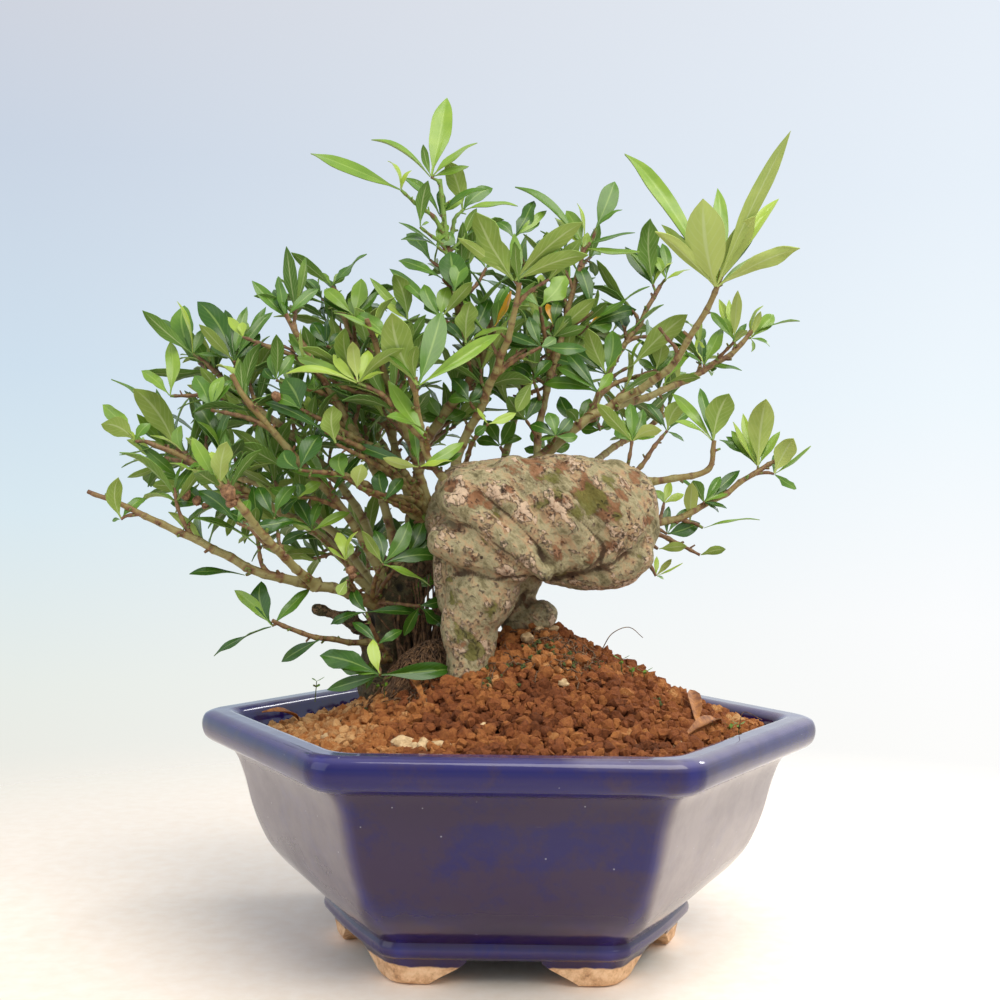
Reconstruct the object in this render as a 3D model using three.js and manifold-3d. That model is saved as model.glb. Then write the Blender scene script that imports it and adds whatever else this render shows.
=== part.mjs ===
// Gardenia bonsai in a hexagonal glazed pot, in millimetres, +Z up.
// Everything is laid out round the pot's axis, with +X to the right, +Y away from the front and
// Z = 0 on the surface that the feet stand on. The whole plant is then moved so that the origin
// is the middle of its bounding box, at the bottom.
import * as THREE from 'three';
import { mergeVertices } from 'three/addons/utils/BufferGeometryUtils.js';
import Module from 'manifold-3d';

const wasm = await Module();
wasm.setup();

// Driving dimensions of the pot: [corner radius, height] down the outside, up over the lip and
// down the inside. The corner radius is measured to the six corners.
const POT_OUTSIDE = [
  [55.5, 8], [57, 9.5], [57, 12], [55.5, 13], [58.8, 14.1], [63.4, 18], [68.6, 22.6], [73.2, 27.8],
  [76.5, 33.7], [79.1, 40.2], [81.7, 49.4], [84, 55.3], [86, 58],
];
const POT_LIP = [[91, 59.5], [94, 61.5], [95, 65], [94, 68], [91.5, 69], [86, 69], [84.5, 68.2]];
const POT_INSIDE = [[82, 62], [77, 55], [74, 45], [71, 36], [66, 28], [58, 21], [47, 15]];
const POT_UNDERSIDE_Z = 8;
const POT_FLOOR_Z = 15;
const CORNER_ROUNDING = 0.045;
const DRAIN_RADIUS = 9;
const DRAIN_X = 22;
const DRAIN_SIDES = 16;

// Driving dimensions of the six bracket feet.
const FOOT_TOP_RADIUS = 55.5;
const FOOT_BOTTOM_RADIUS = 49;
const FOOT_WALL = 9;
const ARCH_BOTTOM_HALF = 19;
const ARCH_TOP_HALF = 9;
const ARCH_WAIST_Z = 4;
const ARCH_SWEEP = 3;
const FOOT_INNER_TAPER = 3;

// Driving dimensions of the drain screens and their wire staples.
const SCREEN_SIDE = 24;
const SCREEN_THICK = 1.2;
const SCREEN_HOLE = 3.6;
const SCREEN_PITCH = 6;
const WIRE_RADIUS = 0.5;

// Driving dimensions of the soil mound.
const SOIL_EDGE_Z = 66.3;
const SOIL_LEFT_DROP = 5;
const MOUND_CENTRE = [8, 4];
const MOUND_RISE = 32;
const MOUND_REACH = 78;
const MOUND_FALL = 1.5;
const MOUND_SHARES = [1, 0.85, 0.68, 0.5, 0.33, 0.16];

// Clearance between neighbours that touch on the real plant.
const GAP = 0.3;
// Clearance that a twig or a leaf keeps to everything it doesn't grow from.
const LEAF_CLEAR = 0.25;
const CROWN = new THREE.Box3(new THREE.Vector3(-127, -80, 70), new THREE.Vector3(96.5, 80, 259));

const FINISH = {
  glaze: new THREE.MeshStandardMaterial({ color: '#1d1f6b', roughness: 0.15, metalness: 0 }),
  plastic: new THREE.MeshStandardMaterial({ color: '#202322', roughness: 0.5, metalness: 0 }),
  wire: new THREE.MeshStandardMaterial({ color: '#8d8f92', roughness: 0.4, metalness: 1 }),
  soil: new THREE.MeshStandardMaterial({ color: '#9a5c30', roughness: 0.95, metalness: 0 }),
  bark: new THREE.MeshStandardMaterial({ color: '#a8977c', roughness: 0.85, metalness: 0 }),
  stem: new THREE.MeshStandardMaterial({ color: '#8f7a58', roughness: 0.8, metalness: 0 }),
  leaf: new THREE.MeshStandardMaterial({ color: '#2f6a2c', roughness: 0.35, metalness: 0 }),
};

// The trunk's fused strands: points [x, y, z, radius] down the middle of each.
const TRUNK_STRANDS = {
  leg: [[-12, -14, 76, 6.5], [-12, -14, 88, 6.5], [-12, -14, 97, 8], [-9, -13, 104, 11], [-7, -12, 112, 13]],
  hanging_lobe: [[-20, -8, 118, 5], [-22, -8, 110, 4], [-22, -8, 105, 3]],
  lower_fold: [[-18, -18, 123, 8], [-12, -21, 124, 8], [-5, -21, 120, 7.5], [1, -20, 116, 4]],
  shoulder_fold: [[-15, -11, 136, 8], [-9, -19, 130, 8.5], [-1, -22, 123, 8], [6, -21, 116, 6],
    [9, -20, 113, 3]],
  crown_fold: [[-4, -12, 137, 10], [6, -17, 130, 11], [14, -18, 122, 10.5], [18, -17, 118, 7]],
  middle_fold: [[10, -10, 138, 9.5], [21, -13, 132, 12], [28, -14, 122, 11], [27, -14, 116, 7]],
  outer_fold: [[20, -6, 138, 9.5], [31, -8, 138, 10], [36, -8, 129, 10], [37, -8, 120, 9], [32, -8, 114, 6]],
  under_lobe: [[13, -6, 114, 5], [25, -3, 113, 6], [36, -3, 117, 7]],
  back_mass: [[-15, 6, 129, 12], [-5, 5, 131, 15], [9, 5, 132, 15], [24, 4, 130, 15], [34, 1, 128, 13]],
  rear_leg: [[4, 0, 116, 8], [2, 4, 105, 6.5], [4, 6, 96, 6.5], [6, 7, 84, 7]],
  root_knob: [[3, 4, 98, 5], [10, 0, 99, 5]],
};
const STUMP_STRANDS = {
  stock: [[-39, 14, 72, 9], [-39, 14, 86, 8.5], [-37, 13, 98, 8.5], [-35, 14, 110, 8]],
  shoulder: [[-37, 13, 100, 8], [-30, 14, 113, 7.5], [-26, 15, 122, 5.5]],
  sawn_stub: [[-40, 12, 90, 3.4], [-50, 8, 96, 2.6], [-60, 4, 100, 2.3]],
};

// The branches: what each grows from, the share of its route that is bare wood, its own points
// [x, y, z, radius] and, after the wood, how many side twigs its leaf spray has.
const BRANCHES = [
  { name: 'right_main', wood: 0.72, twigs: 3, leaf: 26, route: [[1, 8, 140, 2.6], [13, 10, 152, 2.4],
    [25, 9, 161, 2.1], [32, 8, 165, 1.9], [42, 4, 171, 1.7], [50, 0, 177, 1.5], [56, -4, 187, 1.3],
    [62, -8, 199, 1.1], [66, -9, 212, 0.9]] },
  { name: 'right_second', wood: 0.6, twigs: 2, leaf: 18, route: [[33, 8, 165, 1.7], [45, 12, 169, 1.5],
    [60, 18, 176, 1.3], [74, 22, 186, 1.1], [79, 23, 192, 0.9]] },
  { name: 'right_inner', wood: 0.6, twigs: 2, leaf: 22, route: [[25, 9, 161, 1.7], [31, 20, 175, 1.4],
    [36, 26, 185, 1.2], [42, 30, 194, 1.1], [49, 34, 207, 0.9]] },
  { name: 'right_bow', wood: 0.7, twigs: 2, leaf: 18, route: [[33, -6, 142, 1.7], [44, -8, 141, 1.5],
    [52, -10, 142, 1.3], [60, -12, 145, 1.1], [61, -14, 153, 0.9]] },
  { name: 'right_far', wood: 0.55, twigs: 3, leaf: 16, route: [[34, 6, 124, 1.9], [47, 8, 128, 1.7],
    [54, 10, 130, 1.5], [64, 12, 135, 1.3], [75, 13, 142, 1.1], [86, 14, 149, 0.9]] },
  { name: 'right_back', wood: 0.55, twigs: 3, leaf: 22, route: [[20, 12, 138, 1.9], [30, 32, 150, 1.6],
    [46, 48, 160, 1.3], [58, 58, 170, 0.9]] },
  { name: 'centre_thick', wood: 0.8, twigs: 2, leaf: 22, route: [[-33, 15, 112, 2.8], [-31, 16, 134, 2.6],
    [-28, 15, 152, 2.4], [-20, 12, 164, 2.2], [-12, 9, 174, 2], [-8, 6, 182, 1.6], [-6, 5, 192, 1]] },
  { name: 'centre_main', wood: 0.7, twigs: 2, leaf: 24, route: [[-19, 8, 136, 2.3], [-16, 9, 151, 2.1],
    [-9, 3, 165, 1.9], [-4, -4, 176, 1.7], [0, -10, 187, 1.4], [2, -14, 200, 0.9]] },
  { name: 'top_tall', wood: 0.55, twigs: 2, leaf: 27, route: [[-11, 8, 176, 1.6], [-16, 6, 190, 1.4],
    [-19, 3, 204, 1.3], [-21, 1, 218, 1.1], [-23, 0, 234, 0.9]] },
  { name: 'top_right', wood: 0.6, twigs: 3, leaf: 24, route: [[9, 14, 138, 2], [9, 18, 156, 1.7],
    [12, 20, 172, 1.5], [17, 23, 192, 1.2], [22, 24, 212, 0.9]] },
  { name: 'top_back', wood: 0.55, twigs: 3, leaf: 24, route: [[-4, 16, 138, 2], [0, 30, 158, 1.7],
    [5, 40, 180, 1.4], [8, 46, 204, 0.9]] },
  { name: 'front_crown', wood: 0.6, twigs: 2, leaf: 24, route: [[-17, -10, 138, 1.7], [-24, -13, 146, 1.5],
    [-27, -18, 158, 1.3], [-28, -24, 170, 0.9]] },
  { name: 'left_crown', wood: 0.6, twigs: 2, leaf: 22, route: [[-23, 10, 124, 2.1], [-30, 2, 148, 1.8],
    [-36, -9, 166, 1.5], [-43, -19, 188, 0.9]] },
  { name: 'left_high', wood: 0.6, twigs: 2, leaf: 22, route: [[-29, 17, 118, 2.1], [-38, 23, 152, 1.8],
    [-46, 25, 172, 1.5], [-54, 26, 190, 1.2], [-58, 26, 203, 0.9]] },
  { name: 'left_upper', wood: 0.6, twigs: 2, leaf: 22, route: [[-34, 8, 112, 2.2], [-43, 5, 144, 1.8],
    [-54, 1, 164, 1.5], [-63, -3, 180, 1.2], [-70, -5, 191, 0.9]] },
  { name: 'left_out', wood: 0.6, twigs: 3, leaf: 20, route: [[-37, 17, 108, 2.2], [-54, 21, 137, 1.8],
    [-73, 21, 157, 1.5], [-88, 21, 168, 1.2], [-99, 21, 178, 0.9]] },
  { name: 'left_mid', wood: 0.6, twigs: 2, leaf: 22, route: [[-38, 8, 107, 2.2], [-52, 0, 131, 1.8],
    [-65, -9, 147, 1.5], [-76, -16, 160, 1.2], [-83, -20, 171, 0.9]] },
  { name: 'left_far', wood: 0.6, twigs: 3, leaf: 20, route: [[-40, 18, 102, 2.2], [-61, 27, 126, 1.8],
    [-84, 33, 139, 1.5], [-101, 37, 145, 1.2], [-112, 39, 150, 0.9]] },
  { name: 'left_tip', wood: 0.6, twigs: 2, leaf: 20, route: [[-41, 11, 101, 2.1], [-58, 7, 121, 1.8],
    [-78, 1, 134, 1.5], [-95, -6, 144, 1.2], [-110, -10, 151, 0.9]] },
  { name: 'left_low', wood: 0.7, twigs: 2, leaf: 14, route: [[-41, 7, 101, 2.6], [-52, 1, 106, 2.3],
    [-66, -5, 109, 2.1], [-78, -9, 113, 1.9], [-94, -12, 121, 1.6], [-104, -14, 126, 1.4],
    [-114, -15, 131, 1.1], [-127, -15, 136, 0.8]] },
  { name: 'left_cut', wood: 0.7, twigs: 2, leaf: 16, route: [[-60, -3, 108, 2], [-66, -16, 116, 1.8],
    [-72, -24, 123, 1.7], [-77, -31, 131, 1.6], [-84, -35, 139, 1.2]] },
  { name: 'back_left', wood: 0.55, twigs: 3, leaf: 22, route: [[-24, 14, 124, 2], [-37, 38, 142, 1.7],
    [-48, 54, 160, 1.3], [-54, 60, 174, 0.9]] },
  { name: 'back_low', wood: 0.55, twigs: 3, leaf: 22, route: [[-38, 18, 96, 2], [-51, 42, 112, 1.7],
    [-63, 56, 121, 1.3], [-74, 62, 130, 0.9]] },
  { name: 'base_shoot', wood: 0.45, twigs: 2, leaf: 20, route: [[-40, 8, 90, 1.4], [-49, 3, 90, 1.2],
    [-60, -3, 92, 1], [-72, -8, 97, 0.8]] },
  { name: 'soil_shoot', wood: 0.6, twigs: 1, leaf: 20, route: [[-37, 9, 84, 1.4], [-39, -3, 85, 1.2],
    [-39, -14, 86, 1]] },
];

const STRAND_SIDES = 9;
const STEM_SIDES = 6;
const TWIG_SIDES = 4;
const BLADE_THICK = 0.8;
const BLADE_WIDTH_SHARE = 0.36;
const BLADE_DROOP_SHARE = 0.12;
const TWIG_RADII = [0.9, 0.7];
const TWIG_LENGTHS = [12, 17];
const TWIG_LEAN = 0.95;
const END_LEAVES = 4;
const END_LEAN = 0.4;
const SIDE_LEAVES = 3;
const SIDE_LEAN = 0.55;
const GOLDEN_ANGLE = THREE.MathUtils.degToRad(137.5);

// A fixed sequence of fractions from 0 to 1, so that every build is the same.
let seed = 7;
function fraction() {
  seed = (seed * 16807) % 2147483647;
  return seed / 2147483647;
}

function between(low, high) {
  return low + (high - low) * fraction();
}

// One closed skin over rings of equal length, from a pole at each end.
function loft(first, rings, last) {
  const sides = rings[0].length;
  const points = [first, ...rings.flat(), last];
  const index = [];
  for (let k = 0; k < sides; k += 1) {
    const next = (k + 1) % sides;
    index.push(0, 1 + next, 1 + k);
    for (let i = 0; i + 1 < rings.length; i += 1) {
      const a = 1 + i * sides + k;
      const b = 1 + i * sides + next;
      index.push(a, b, b + sides, a, b + sides, a + sides);
    }
    const top = 1 + (rings.length - 1) * sides;
    index.push(top + k, top + next, points.length - 1);
  }
  const geometry = new THREE.BufferGeometry().setFromPoints(points);
  geometry.setIndex(volumeOf(points, index) < 0 ? turnedOver(index) : index);
  return geometry;
}

function volumeOf(points, index) {
  let volume = 0;
  const across = new THREE.Vector3();
  for (let i = 0; i < index.length; i += 3) {
    across.crossVectors(points[index[i + 1]], points[index[i + 2]]);
    volume += points[index[i]].dot(across) / 6;
  }
  return volume;
}

function turnedOver(index) {
  const turned = [];
  for (let i = 0; i < index.length; i += 3) {
    turned.push(index[i], index[i + 2], index[i + 1]);
  }
  return turned;
}

// A closed geometry as a solid that can be joined and cut.
function solid(geometry) {
  const bare = geometry.clone();
  bare.deleteAttribute('normal');
  bare.deleteAttribute('uv');
  const merged = mergeVertices(bare, 1e-4);
  return new wasm.Manifold(new wasm.Mesh({
    numProp: 3,
    vertProperties: new Float32Array(merged.attributes.position.array),
    triVerts: new Uint32Array(merged.index.array),
  }));
}

function join(solids) {
  return solids.reduce((whole, next) => whole.add(next));
}

function largestOf(whole) {
  const pieces = whole.decompose();
  return pieces.reduce((best, next) => (next.volume() > best.volume() ? next : best));
}

// A tube of varying radius along a smooth curve through points [x, y, z, radius].
function tube(route, sides, grow = 0, roundEnds = false, stepsPerPoint = 2) {
  const places = route.map(([x, y, z]) => new THREE.Vector3(x, y, z));
  const curve = new THREE.CatmullRomCurve3(places, false, 'centripetal');
  const steps = (route.length - 1) * stepsPerPoint;
  const spans = route.length - 1;
  const radiusAt = (t) => {
    const i = Math.min(Math.floor(t * spans), spans - 1);
    return THREE.MathUtils.lerp(route[i][3], route[i + 1][3], t * spans - i) + grow;
  };
  const centres = [];
  for (let i = 0; i <= steps; i += 1) {
    centres.push({ at: curve.getPoint(i / steps), radius: radiusAt(i / steps) });
  }
  const startWay = curve.getTangent(0).negate();
  const endWay = curve.getTangent(1);
  const head = centres[0];
  const tail = centres[steps];
  head.at.addScaledVector(startWay, grow);
  tail.at.addScaledVector(endWay, grow);
  if (roundEnds) {
    centres.unshift(domeRing(head, startWay));
    centres.push(domeRing(tail, endWay));
  }
  const poleReach = roundEnds ? 1 : 0;
  const first = head.at.clone().addScaledVector(startWay, head.radius * poleReach);
  const last = tail.at.clone().addScaledVector(endWay, tail.radius * poleReach);
  const rings = [];
  let side = sideOf(startWay);
  centres.forEach(({ at, radius }, i) => {
    const before = i === 0 ? first : centres[i - 1].at;
    const after = i + 1 === centres.length ? last : centres[i + 1].at;
    const way = after.clone().sub(before).normalize();
    side = side.clone().addScaledVector(way, -side.dot(way)).normalize();
    const up = new THREE.Vector3().crossVectors(way, side);
    rings.push(circle(at, side, up, radius, sides));
  });
  return loft(first, rings, last);
}

// The ring that rounds off a tube's end on its way to the pole.
function domeRing({ at, radius }, way) {
  return { at: at.clone().addScaledVector(way, radius * 0.6), radius: radius * 0.75 };
}

// A direction square to another one.
function sideOf(way) {
  const helper = Math.abs(way.z) < 0.9 ? new THREE.Vector3(0, 0, 1) : new THREE.Vector3(1, 0, 0);
  return new THREE.Vector3().crossVectors(helper, way).normalize();
}

function circle(centre, side, up, radius, sides) {
  const ring = [];
  for (let k = 0; k < sides; k += 1) {
    const turn = (2 * Math.PI * k) / sides;
    const across = side.clone().multiplyScalar(radius * Math.cos(turn));
    ring.push(centre.clone().add(across).addScaledVector(up, radius * Math.sin(turn)));
  }
  return ring;
}

// A hexagonal ring with rounded corners, its corners on the X axis.
function hexagon(cornerRadius, z) {
  const sharpRadius = cornerRadius / (1 - CORNER_ROUNDING / 4);
  const ring = [];
  for (let k = 0; k < 6; k += 1) {
    const corner = cornerPoint(sharpRadius, k, z);
    const before = cornerPoint(sharpRadius, k - 1, z);
    const after = cornerPoint(sharpRadius, k + 1, z);
    const into = corner.clone().lerp(before, CORNER_ROUNDING);
    const out = corner.clone().lerp(after, CORNER_ROUNDING);
    const middle = into.clone().add(out).multiplyScalar(0.5).lerp(corner, 0.5);
    ring.push(into, middle, out);
  }
  return ring;
}

function cornerPoint(radius, k, z) {
  const turn = (Math.PI * k) / 3;
  return new THREE.Vector3(radius * Math.cos(turn), radius * Math.sin(turn), z);
}

function potSolid() {
  const profile = [...POT_OUTSIDE, ...POT_LIP, ...POT_INSIDE];
  const rings = profile.map(([radius, z]) => hexagon(radius, z));
  const underside = new THREE.Vector3(0, 0, POT_UNDERSIDE_Z);
  const bowl = solid(loft(underside, rings, new THREE.Vector3(0, 0, POT_FLOOR_Z)));
  const drains = [-DRAIN_X, DRAIN_X].map((x) => {
    const hole = new THREE.CylinderGeometry(DRAIN_RADIUS, DRAIN_RADIUS, 3 * POT_FLOOR_Z, DRAIN_SIDES);
    hole.rotateX(Math.PI / 2);
    hole.translate(x, 0, POT_FLOOR_Z);
    return solid(hole);
  });
  return bowl.add(feetSolid()).subtract(join(drains));
}

// The feet: a hexagonal ring under the pot, with an ogee arch cut out of each side.
function feetSolid() {
  const sunk = 1;
  const topZ = POT_UNDERSIDE_Z + sunk;
  const skirtRings = [
    hexagon(FOOT_BOTTOM_RADIUS, 0),
    hexagon(FOOT_TOP_RADIUS, POT_UNDERSIDE_Z),
    hexagon(FOOT_TOP_RADIUS, topZ),
  ];
  const skirt = loft(new THREE.Vector3(0, 0, 0), skirtRings, new THREE.Vector3(0, 0, topZ));
  const coreTopRadius = FOOT_TOP_RADIUS - FOOT_WALL - FOOT_INNER_TAPER;
  const core = loft(
    new THREE.Vector3(0, 0, -1),
    [hexagon(FOOT_BOTTOM_RADIUS - FOOT_WALL, -1), hexagon(coreTopRadius, POT_UNDERSIDE_Z)],
    new THREE.Vector3(0, 0, POT_UNDERSIDE_Z),
  );
  const arch = new THREE.Shape();
  const below = -1;
  arch.moveTo(-ARCH_BOTTOM_HALF, below);
  arch.lineTo(ARCH_BOTTOM_HALF, below);
  arch.lineTo(ARCH_BOTTOM_HALF, 0);
  const low = ARCH_BOTTOM_HALF - ARCH_SWEEP;
  const high = ARCH_TOP_HALF + ARCH_SWEEP;
  arch.bezierCurveTo(low, ARCH_WAIST_Z, high, ARCH_WAIST_Z, ARCH_TOP_HALF, POT_UNDERSIDE_Z);
  arch.lineTo(-ARCH_TOP_HALF, POT_UNDERSIDE_Z);
  arch.bezierCurveTo(-high, ARCH_WAIST_Z, -low, ARCH_WAIST_Z, -ARCH_BOTTOM_HALF, 0);
  const cutter = new THREE.ExtrudeGeometry(arch, { depth: 60, bevelEnabled: false, curveSegments: 5 });
  cutter.rotateX(Math.PI / 2);
  cutter.translate(0, 65, 0);
  let feet = solid(skirt).subtract(solid(core));
  for (let k = 0; k < 6; k += 1) {
    const turned = cutter.clone().rotateZ((Math.PI * k) / 3);
    feet = feet.subtract(solid(turned));
  }
  return feet;
}

function screenSolid(x) {
  const sheet = new THREE.BoxGeometry(SCREEN_SIDE, SCREEN_SIDE, SCREEN_THICK);
  sheet.translate(x, 0, POT_FLOOR_Z + GAP + SCREEN_THICK / 2);
  let screen = solid(sheet);
  for (const column of [-1, 0, 1]) {
    for (const row of [-1, 0, 1]) {
      const hole = new THREE.BoxGeometry(SCREEN_HOLE, SCREEN_HOLE, 4 * SCREEN_THICK);
      hole.translate(x + column * SCREEN_PITCH, row * SCREEN_PITCH, POT_FLOOR_Z + GAP);
      screen = screen.subtract(solid(hole));
    }
  }
  return screen;
}

// A staple: over the screen, down through it and the drain hole, and bent out under the floor.
function wireSolid(x) {
  const low = POT_UNDERSIDE_Z - GAP - WIRE_RADIUS;
  const high = POT_FLOOR_Z + GAP + SCREEN_THICK + GAP + WIRE_RADIUS;
  const half = [[13, low], [8, low], [6.3, low + 1], [SCREEN_PITCH, low + 3], [SCREEN_PITCH, high - 2],
    [5.2, high - 0.3], [4, high]];
  const right = half.map(([across, z]) => [x + across, 0, z, WIRE_RADIUS]);
  const left = half.map(([across, z]) => [x - across, 0, z, WIRE_RADIUS]);
  return solid(tube([...right, ...left.reverse()], STEM_SIDES, 0, false, 1));
}

function soilHeight(x, y) {
  const reach = Math.hypot(x - MOUND_CENTRE[0], y - MOUND_CENTRE[1]) / MOUND_REACH;
  const rise = MOUND_RISE * Math.max(0, 1 - reach) ** MOUND_FALL;
  const drop = SOIL_LEFT_DROP * THREE.MathUtils.smoothstep(-x, 20, 70);
  return SOIL_EDGE_Z + rise - drop;
}

// The pot's hollow less the clearance, topped by the mound.
function soilSolid(cutters) {
  const bottomZ = POT_FLOOR_Z + GAP;
  const walls = [...POT_INSIDE].reverse().map(([radius, z]) => hexagon(radius - 2 * GAP, z + GAP));
  const [lipRadius, lipZ] = POT_LIP.at(-1);
  const hollow = loft(
    new THREE.Vector3(0, 0, bottomZ),
    [...walls, hexagon(lipRadius - 2 * GAP, lipZ + GAP)],
    new THREE.Vector3(0, 0, lipZ + 2 * MOUND_RISE),
  );
  const edge = hexagon(lipRadius, 0);
  const tops = MOUND_SHARES.map((share) => edge.map(({ x, y }) => (
    new THREE.Vector3(x * share, y * share, soilHeight(x * share, y * share))
  )));
  const mound = loft(
    new THREE.Vector3(0, 0, 0),
    [edge, ...tops],
    new THREE.Vector3(0, 0, soilHeight(0, 0)),
  );
  const bed = solid(mound).intersect(solid(hollow));
  return cutters.reduce((whole, cutter) => whole.subtract(cutter), bed);
}

function strandSolid(strands, grow = 0) {
  return join(Object.values(strands).map((route) => solid(tube(route, STRAND_SIDES, grow, true))));
}

// A leaf: a thin closed blade, keeled along its midrib, of two sections between base and tip.
function leafSolid(base, way, face, length, width, grow = 0) {
  const across = new THREE.Vector3().crossVectors(way, face).normalize();
  const up = new THREE.Vector3().crossVectors(across, way).normalize();
  const bend = -BLADE_DROOP_SHARE * length;
  const at = (share, lift) => base.clone().addScaledVector(way, length * share).addScaledVector(up, lift);
  const section = (share, halfWidth, lift) => {
    const centre = at(share, lift);
    return [
      centre.clone().addScaledVector(across, halfWidth + grow).addScaledVector(up, BLADE_THICK / 2 + grow),
      centre.clone().addScaledVector(across, -halfWidth - grow).addScaledVector(up, BLADE_THICK / 2 + grow),
      centre.clone().addScaledVector(up, -BLADE_THICK - 2 * grow),
    ];
  };
  const rings = [section(0.35, width * 0.4, 0), section(0.68, width * 0.45, bend * 0.35)];
  return solid(loft(at(0, 0), rings, at(1, bend).addScaledVector(way, grow)));
}

// Edges shorter than this are closed up in the finished solids.
const FINEST_EDGE = 0.05;
const nodes = [];

// The middle twig of every spray, which the leaves of the others keep clear of.
const axes = BRANCHES.map((branch) => {
  const whole = solid(tube(outerRoute(branch), TWIG_SIDES, LEAF_CLEAR, false, 1));
  return { name: branch.name, whole, box: whole.boundingBox() };
});

function addNode(name, rough, finish) {
  const whole = largestOf(rough.simplify(FINEST_EDGE));
  const box = whole.boundingBox();
  nodes.push({ name, whole, box, finish });
}

function boxesMeet(a, b) {
  return [0, 1, 2].every((k) => a.min[k] < b.max[k] && b.min[k] < a.max[k]);
}

function isClear(candidate, ownName) {
  const box = candidate.boundingBox();
  const others = [...nodes, ...axes.filter(({ name }) => name !== ownName)];
  return others.every((other) => !boxesMeet(box, other.box) || candidate.intersect(other.whole).isEmpty());
}

// The spray's own twigs and leaves, added one by one where they touch nothing else.
function spraySolid(branch) {
  const axis = outerRoute(branch);
  const parts = [solid(tube(axis, TWIG_SIDES, 0, false, 1))];
  const places = axis.map(([x, y, z]) => new THREE.Vector3(x, y, z));
  const end = places.at(-1);
  const heading = end.clone().sub(places.at(-2)).normalize();
  addWhorl(parts, end, heading, END_LEAVES, branch, END_LEAN);
  for (let k = 0; k < branch.twigs; k += 1) {
    const share = (k + 0.6) / branch.twigs;
    const spot = share * (places.length - 1);
    const i = Math.min(Math.floor(spot), places.length - 2);
    const from = places[i].clone().lerp(places[i + 1], spot - i);
    addTwig(parts, from, heading, k, branch);
  }
  return largestOf(join(parts).subtract(stemClear.get(branch.name)));
}

function twigSolid(from, to, grow = 0) {
  const route = [[...from.toArray(), TWIG_RADII[0]], [...to.toArray(), TWIG_RADII[1]]];
  return solid(tube(route, TWIG_SIDES, grow, false, 1));
}

function addTwig(parts, from, heading, k, branch) {
  for (let trial = 0; trial < 6; trial += 1) {
    const turn = GOLDEN_ANGLE * k + trial + 0.8;
    const way = turned(heading, turn, TWIG_LEAN);
    way.z += 0.15;
    way.normalize();
    const to = from.clone().addScaledVector(way, between(...TWIG_LENGTHS));
    const start = from.clone().addScaledVector(way, 2);
    const probe = twigSolid(start, to, LEAF_CLEAR);
    if (isClear(probe, branch.name) && CROWN.containsPoint(to)) {
      parts.push(twigSolid(from, to));
      addWhorl(parts, to, way, SIDE_LEAVES, branch, SIDE_LEAN);
      return;
    }
  }
}

// Leaves round the end of a twig, leaning out from its heading by an angle.
function addWhorl(parts, at, heading, count, branch, lean) {
  const offset = between(0, 2);
  for (let k = 0; k < count; k += 1) {
    for (let trial = 0; trial < 4; trial += 1) {
      const turn = offset + (2 * Math.PI * k) / count + 0.4 * trial;
      const way = turned(heading, turn, lean + 0.12 * k + 0.1 * trial);
      const length = branch.leaf * between(0.85, 1.1);
      const base = at.clone().addScaledVector(heading, -0.5);
      const face = heading.clone().addScaledVector(way, -heading.dot(way)).normalize();
      const tip = base.clone().addScaledVector(way, length);
      if (!CROWN.containsPoint(tip)) continue;
      const width = length * BLADE_WIDTH_SHARE;
      const probe = leafSolid(base, way, face, length, width, LEAF_CLEAR);
      if (!isClear(probe, branch.name)) continue;
      parts.push(leafSolid(base, way, face, length, width));
      break;
    }
  }
}

// A direction that leans out from a heading, at a turn round it.
function turned(heading, turn, lean) {
  const side = sideOf(heading);
  const up = new THREE.Vector3().crossVectors(heading, side);
  return heading.clone().multiplyScalar(Math.cos(lean))
    .addScaledVector(side, Math.sin(lean) * Math.cos(turn))
    .addScaledVector(up, Math.sin(lean) * Math.sin(turn));
}

function splitRoute({ route, wood }) {
  const spot = wood * (route.length - 1);
  const i = Math.floor(spot);
  const share = spot - i;
  const cut = route[i].map((value, k) => THREE.MathUtils.lerp(value, route[i + 1][k], share));
  return { inner: [...route.slice(0, i + 1), cut], outer: [cut, ...route.slice(i + 1)] };
}

function woodRoute(branch) {
  return splitRoute(branch).inner;
}

function outerRoute(branch) {
  return splitRoute(branch).outer;
}

const trunkClear = strandSolid(TRUNK_STRANDS, GAP);
const stumpClear = strandSolid(STUMP_STRANDS, GAP);
addNode('pot', potSolid(), FINISH.glaze);
addNode('drain_screen_left', screenSolid(-DRAIN_X), FINISH.plastic);
addNode('drain_screen_right', screenSolid(DRAIN_X), FINISH.plastic);
addNode('screen_wire_left', wireSolid(-DRAIN_X), FINISH.wire);
addNode('screen_wire_right', wireSolid(DRAIN_X), FINISH.wire);
addNode('trunk', strandSolid(TRUNK_STRANDS), FINISH.bark);
addNode('rear_stump', largestOf(strandSolid(STUMP_STRANDS).subtract(trunkClear)), FINISH.bark);

// Each stem stops short of the trunk, the stump and the stems before it by the clearance.
const cutters = [trunkClear, stumpClear];
const stemClear = new Map();
for (const branch of BRANCHES) {
  const route = woodRoute(branch);
  const bare = solid(tube(route, STEM_SIDES));
  const cut = cutters.reduce((whole, cutter) => whole.subtract(cutter), bare);
  addNode(`${branch.name}_stem`, largestOf(cut), FINISH.stem);
  stemClear.set(branch.name, solid(tube(route, STEM_SIDES, GAP)));
  cutters.push(stemClear.get(branch.name));
}

const screenClear = [-DRAIN_X, DRAIN_X].map((x) => {
  const block = new THREE.BoxGeometry(SCREEN_SIDE + 2 * GAP, SCREEN_SIDE + 2 * GAP, 3 * SCREEN_THICK);
  block.translate(x, 0, POT_FLOOR_Z + 1.4 * SCREEN_THICK);
  return solid(block);
});
addNode('soil_bed', soilSolid([...screenClear, ...cutters]), FINISH.soil);

for (const branch of BRANCHES) {
  addNode(`${branch.name}_leaves`, spraySolid(branch), FINISH.leaf);
}

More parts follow.
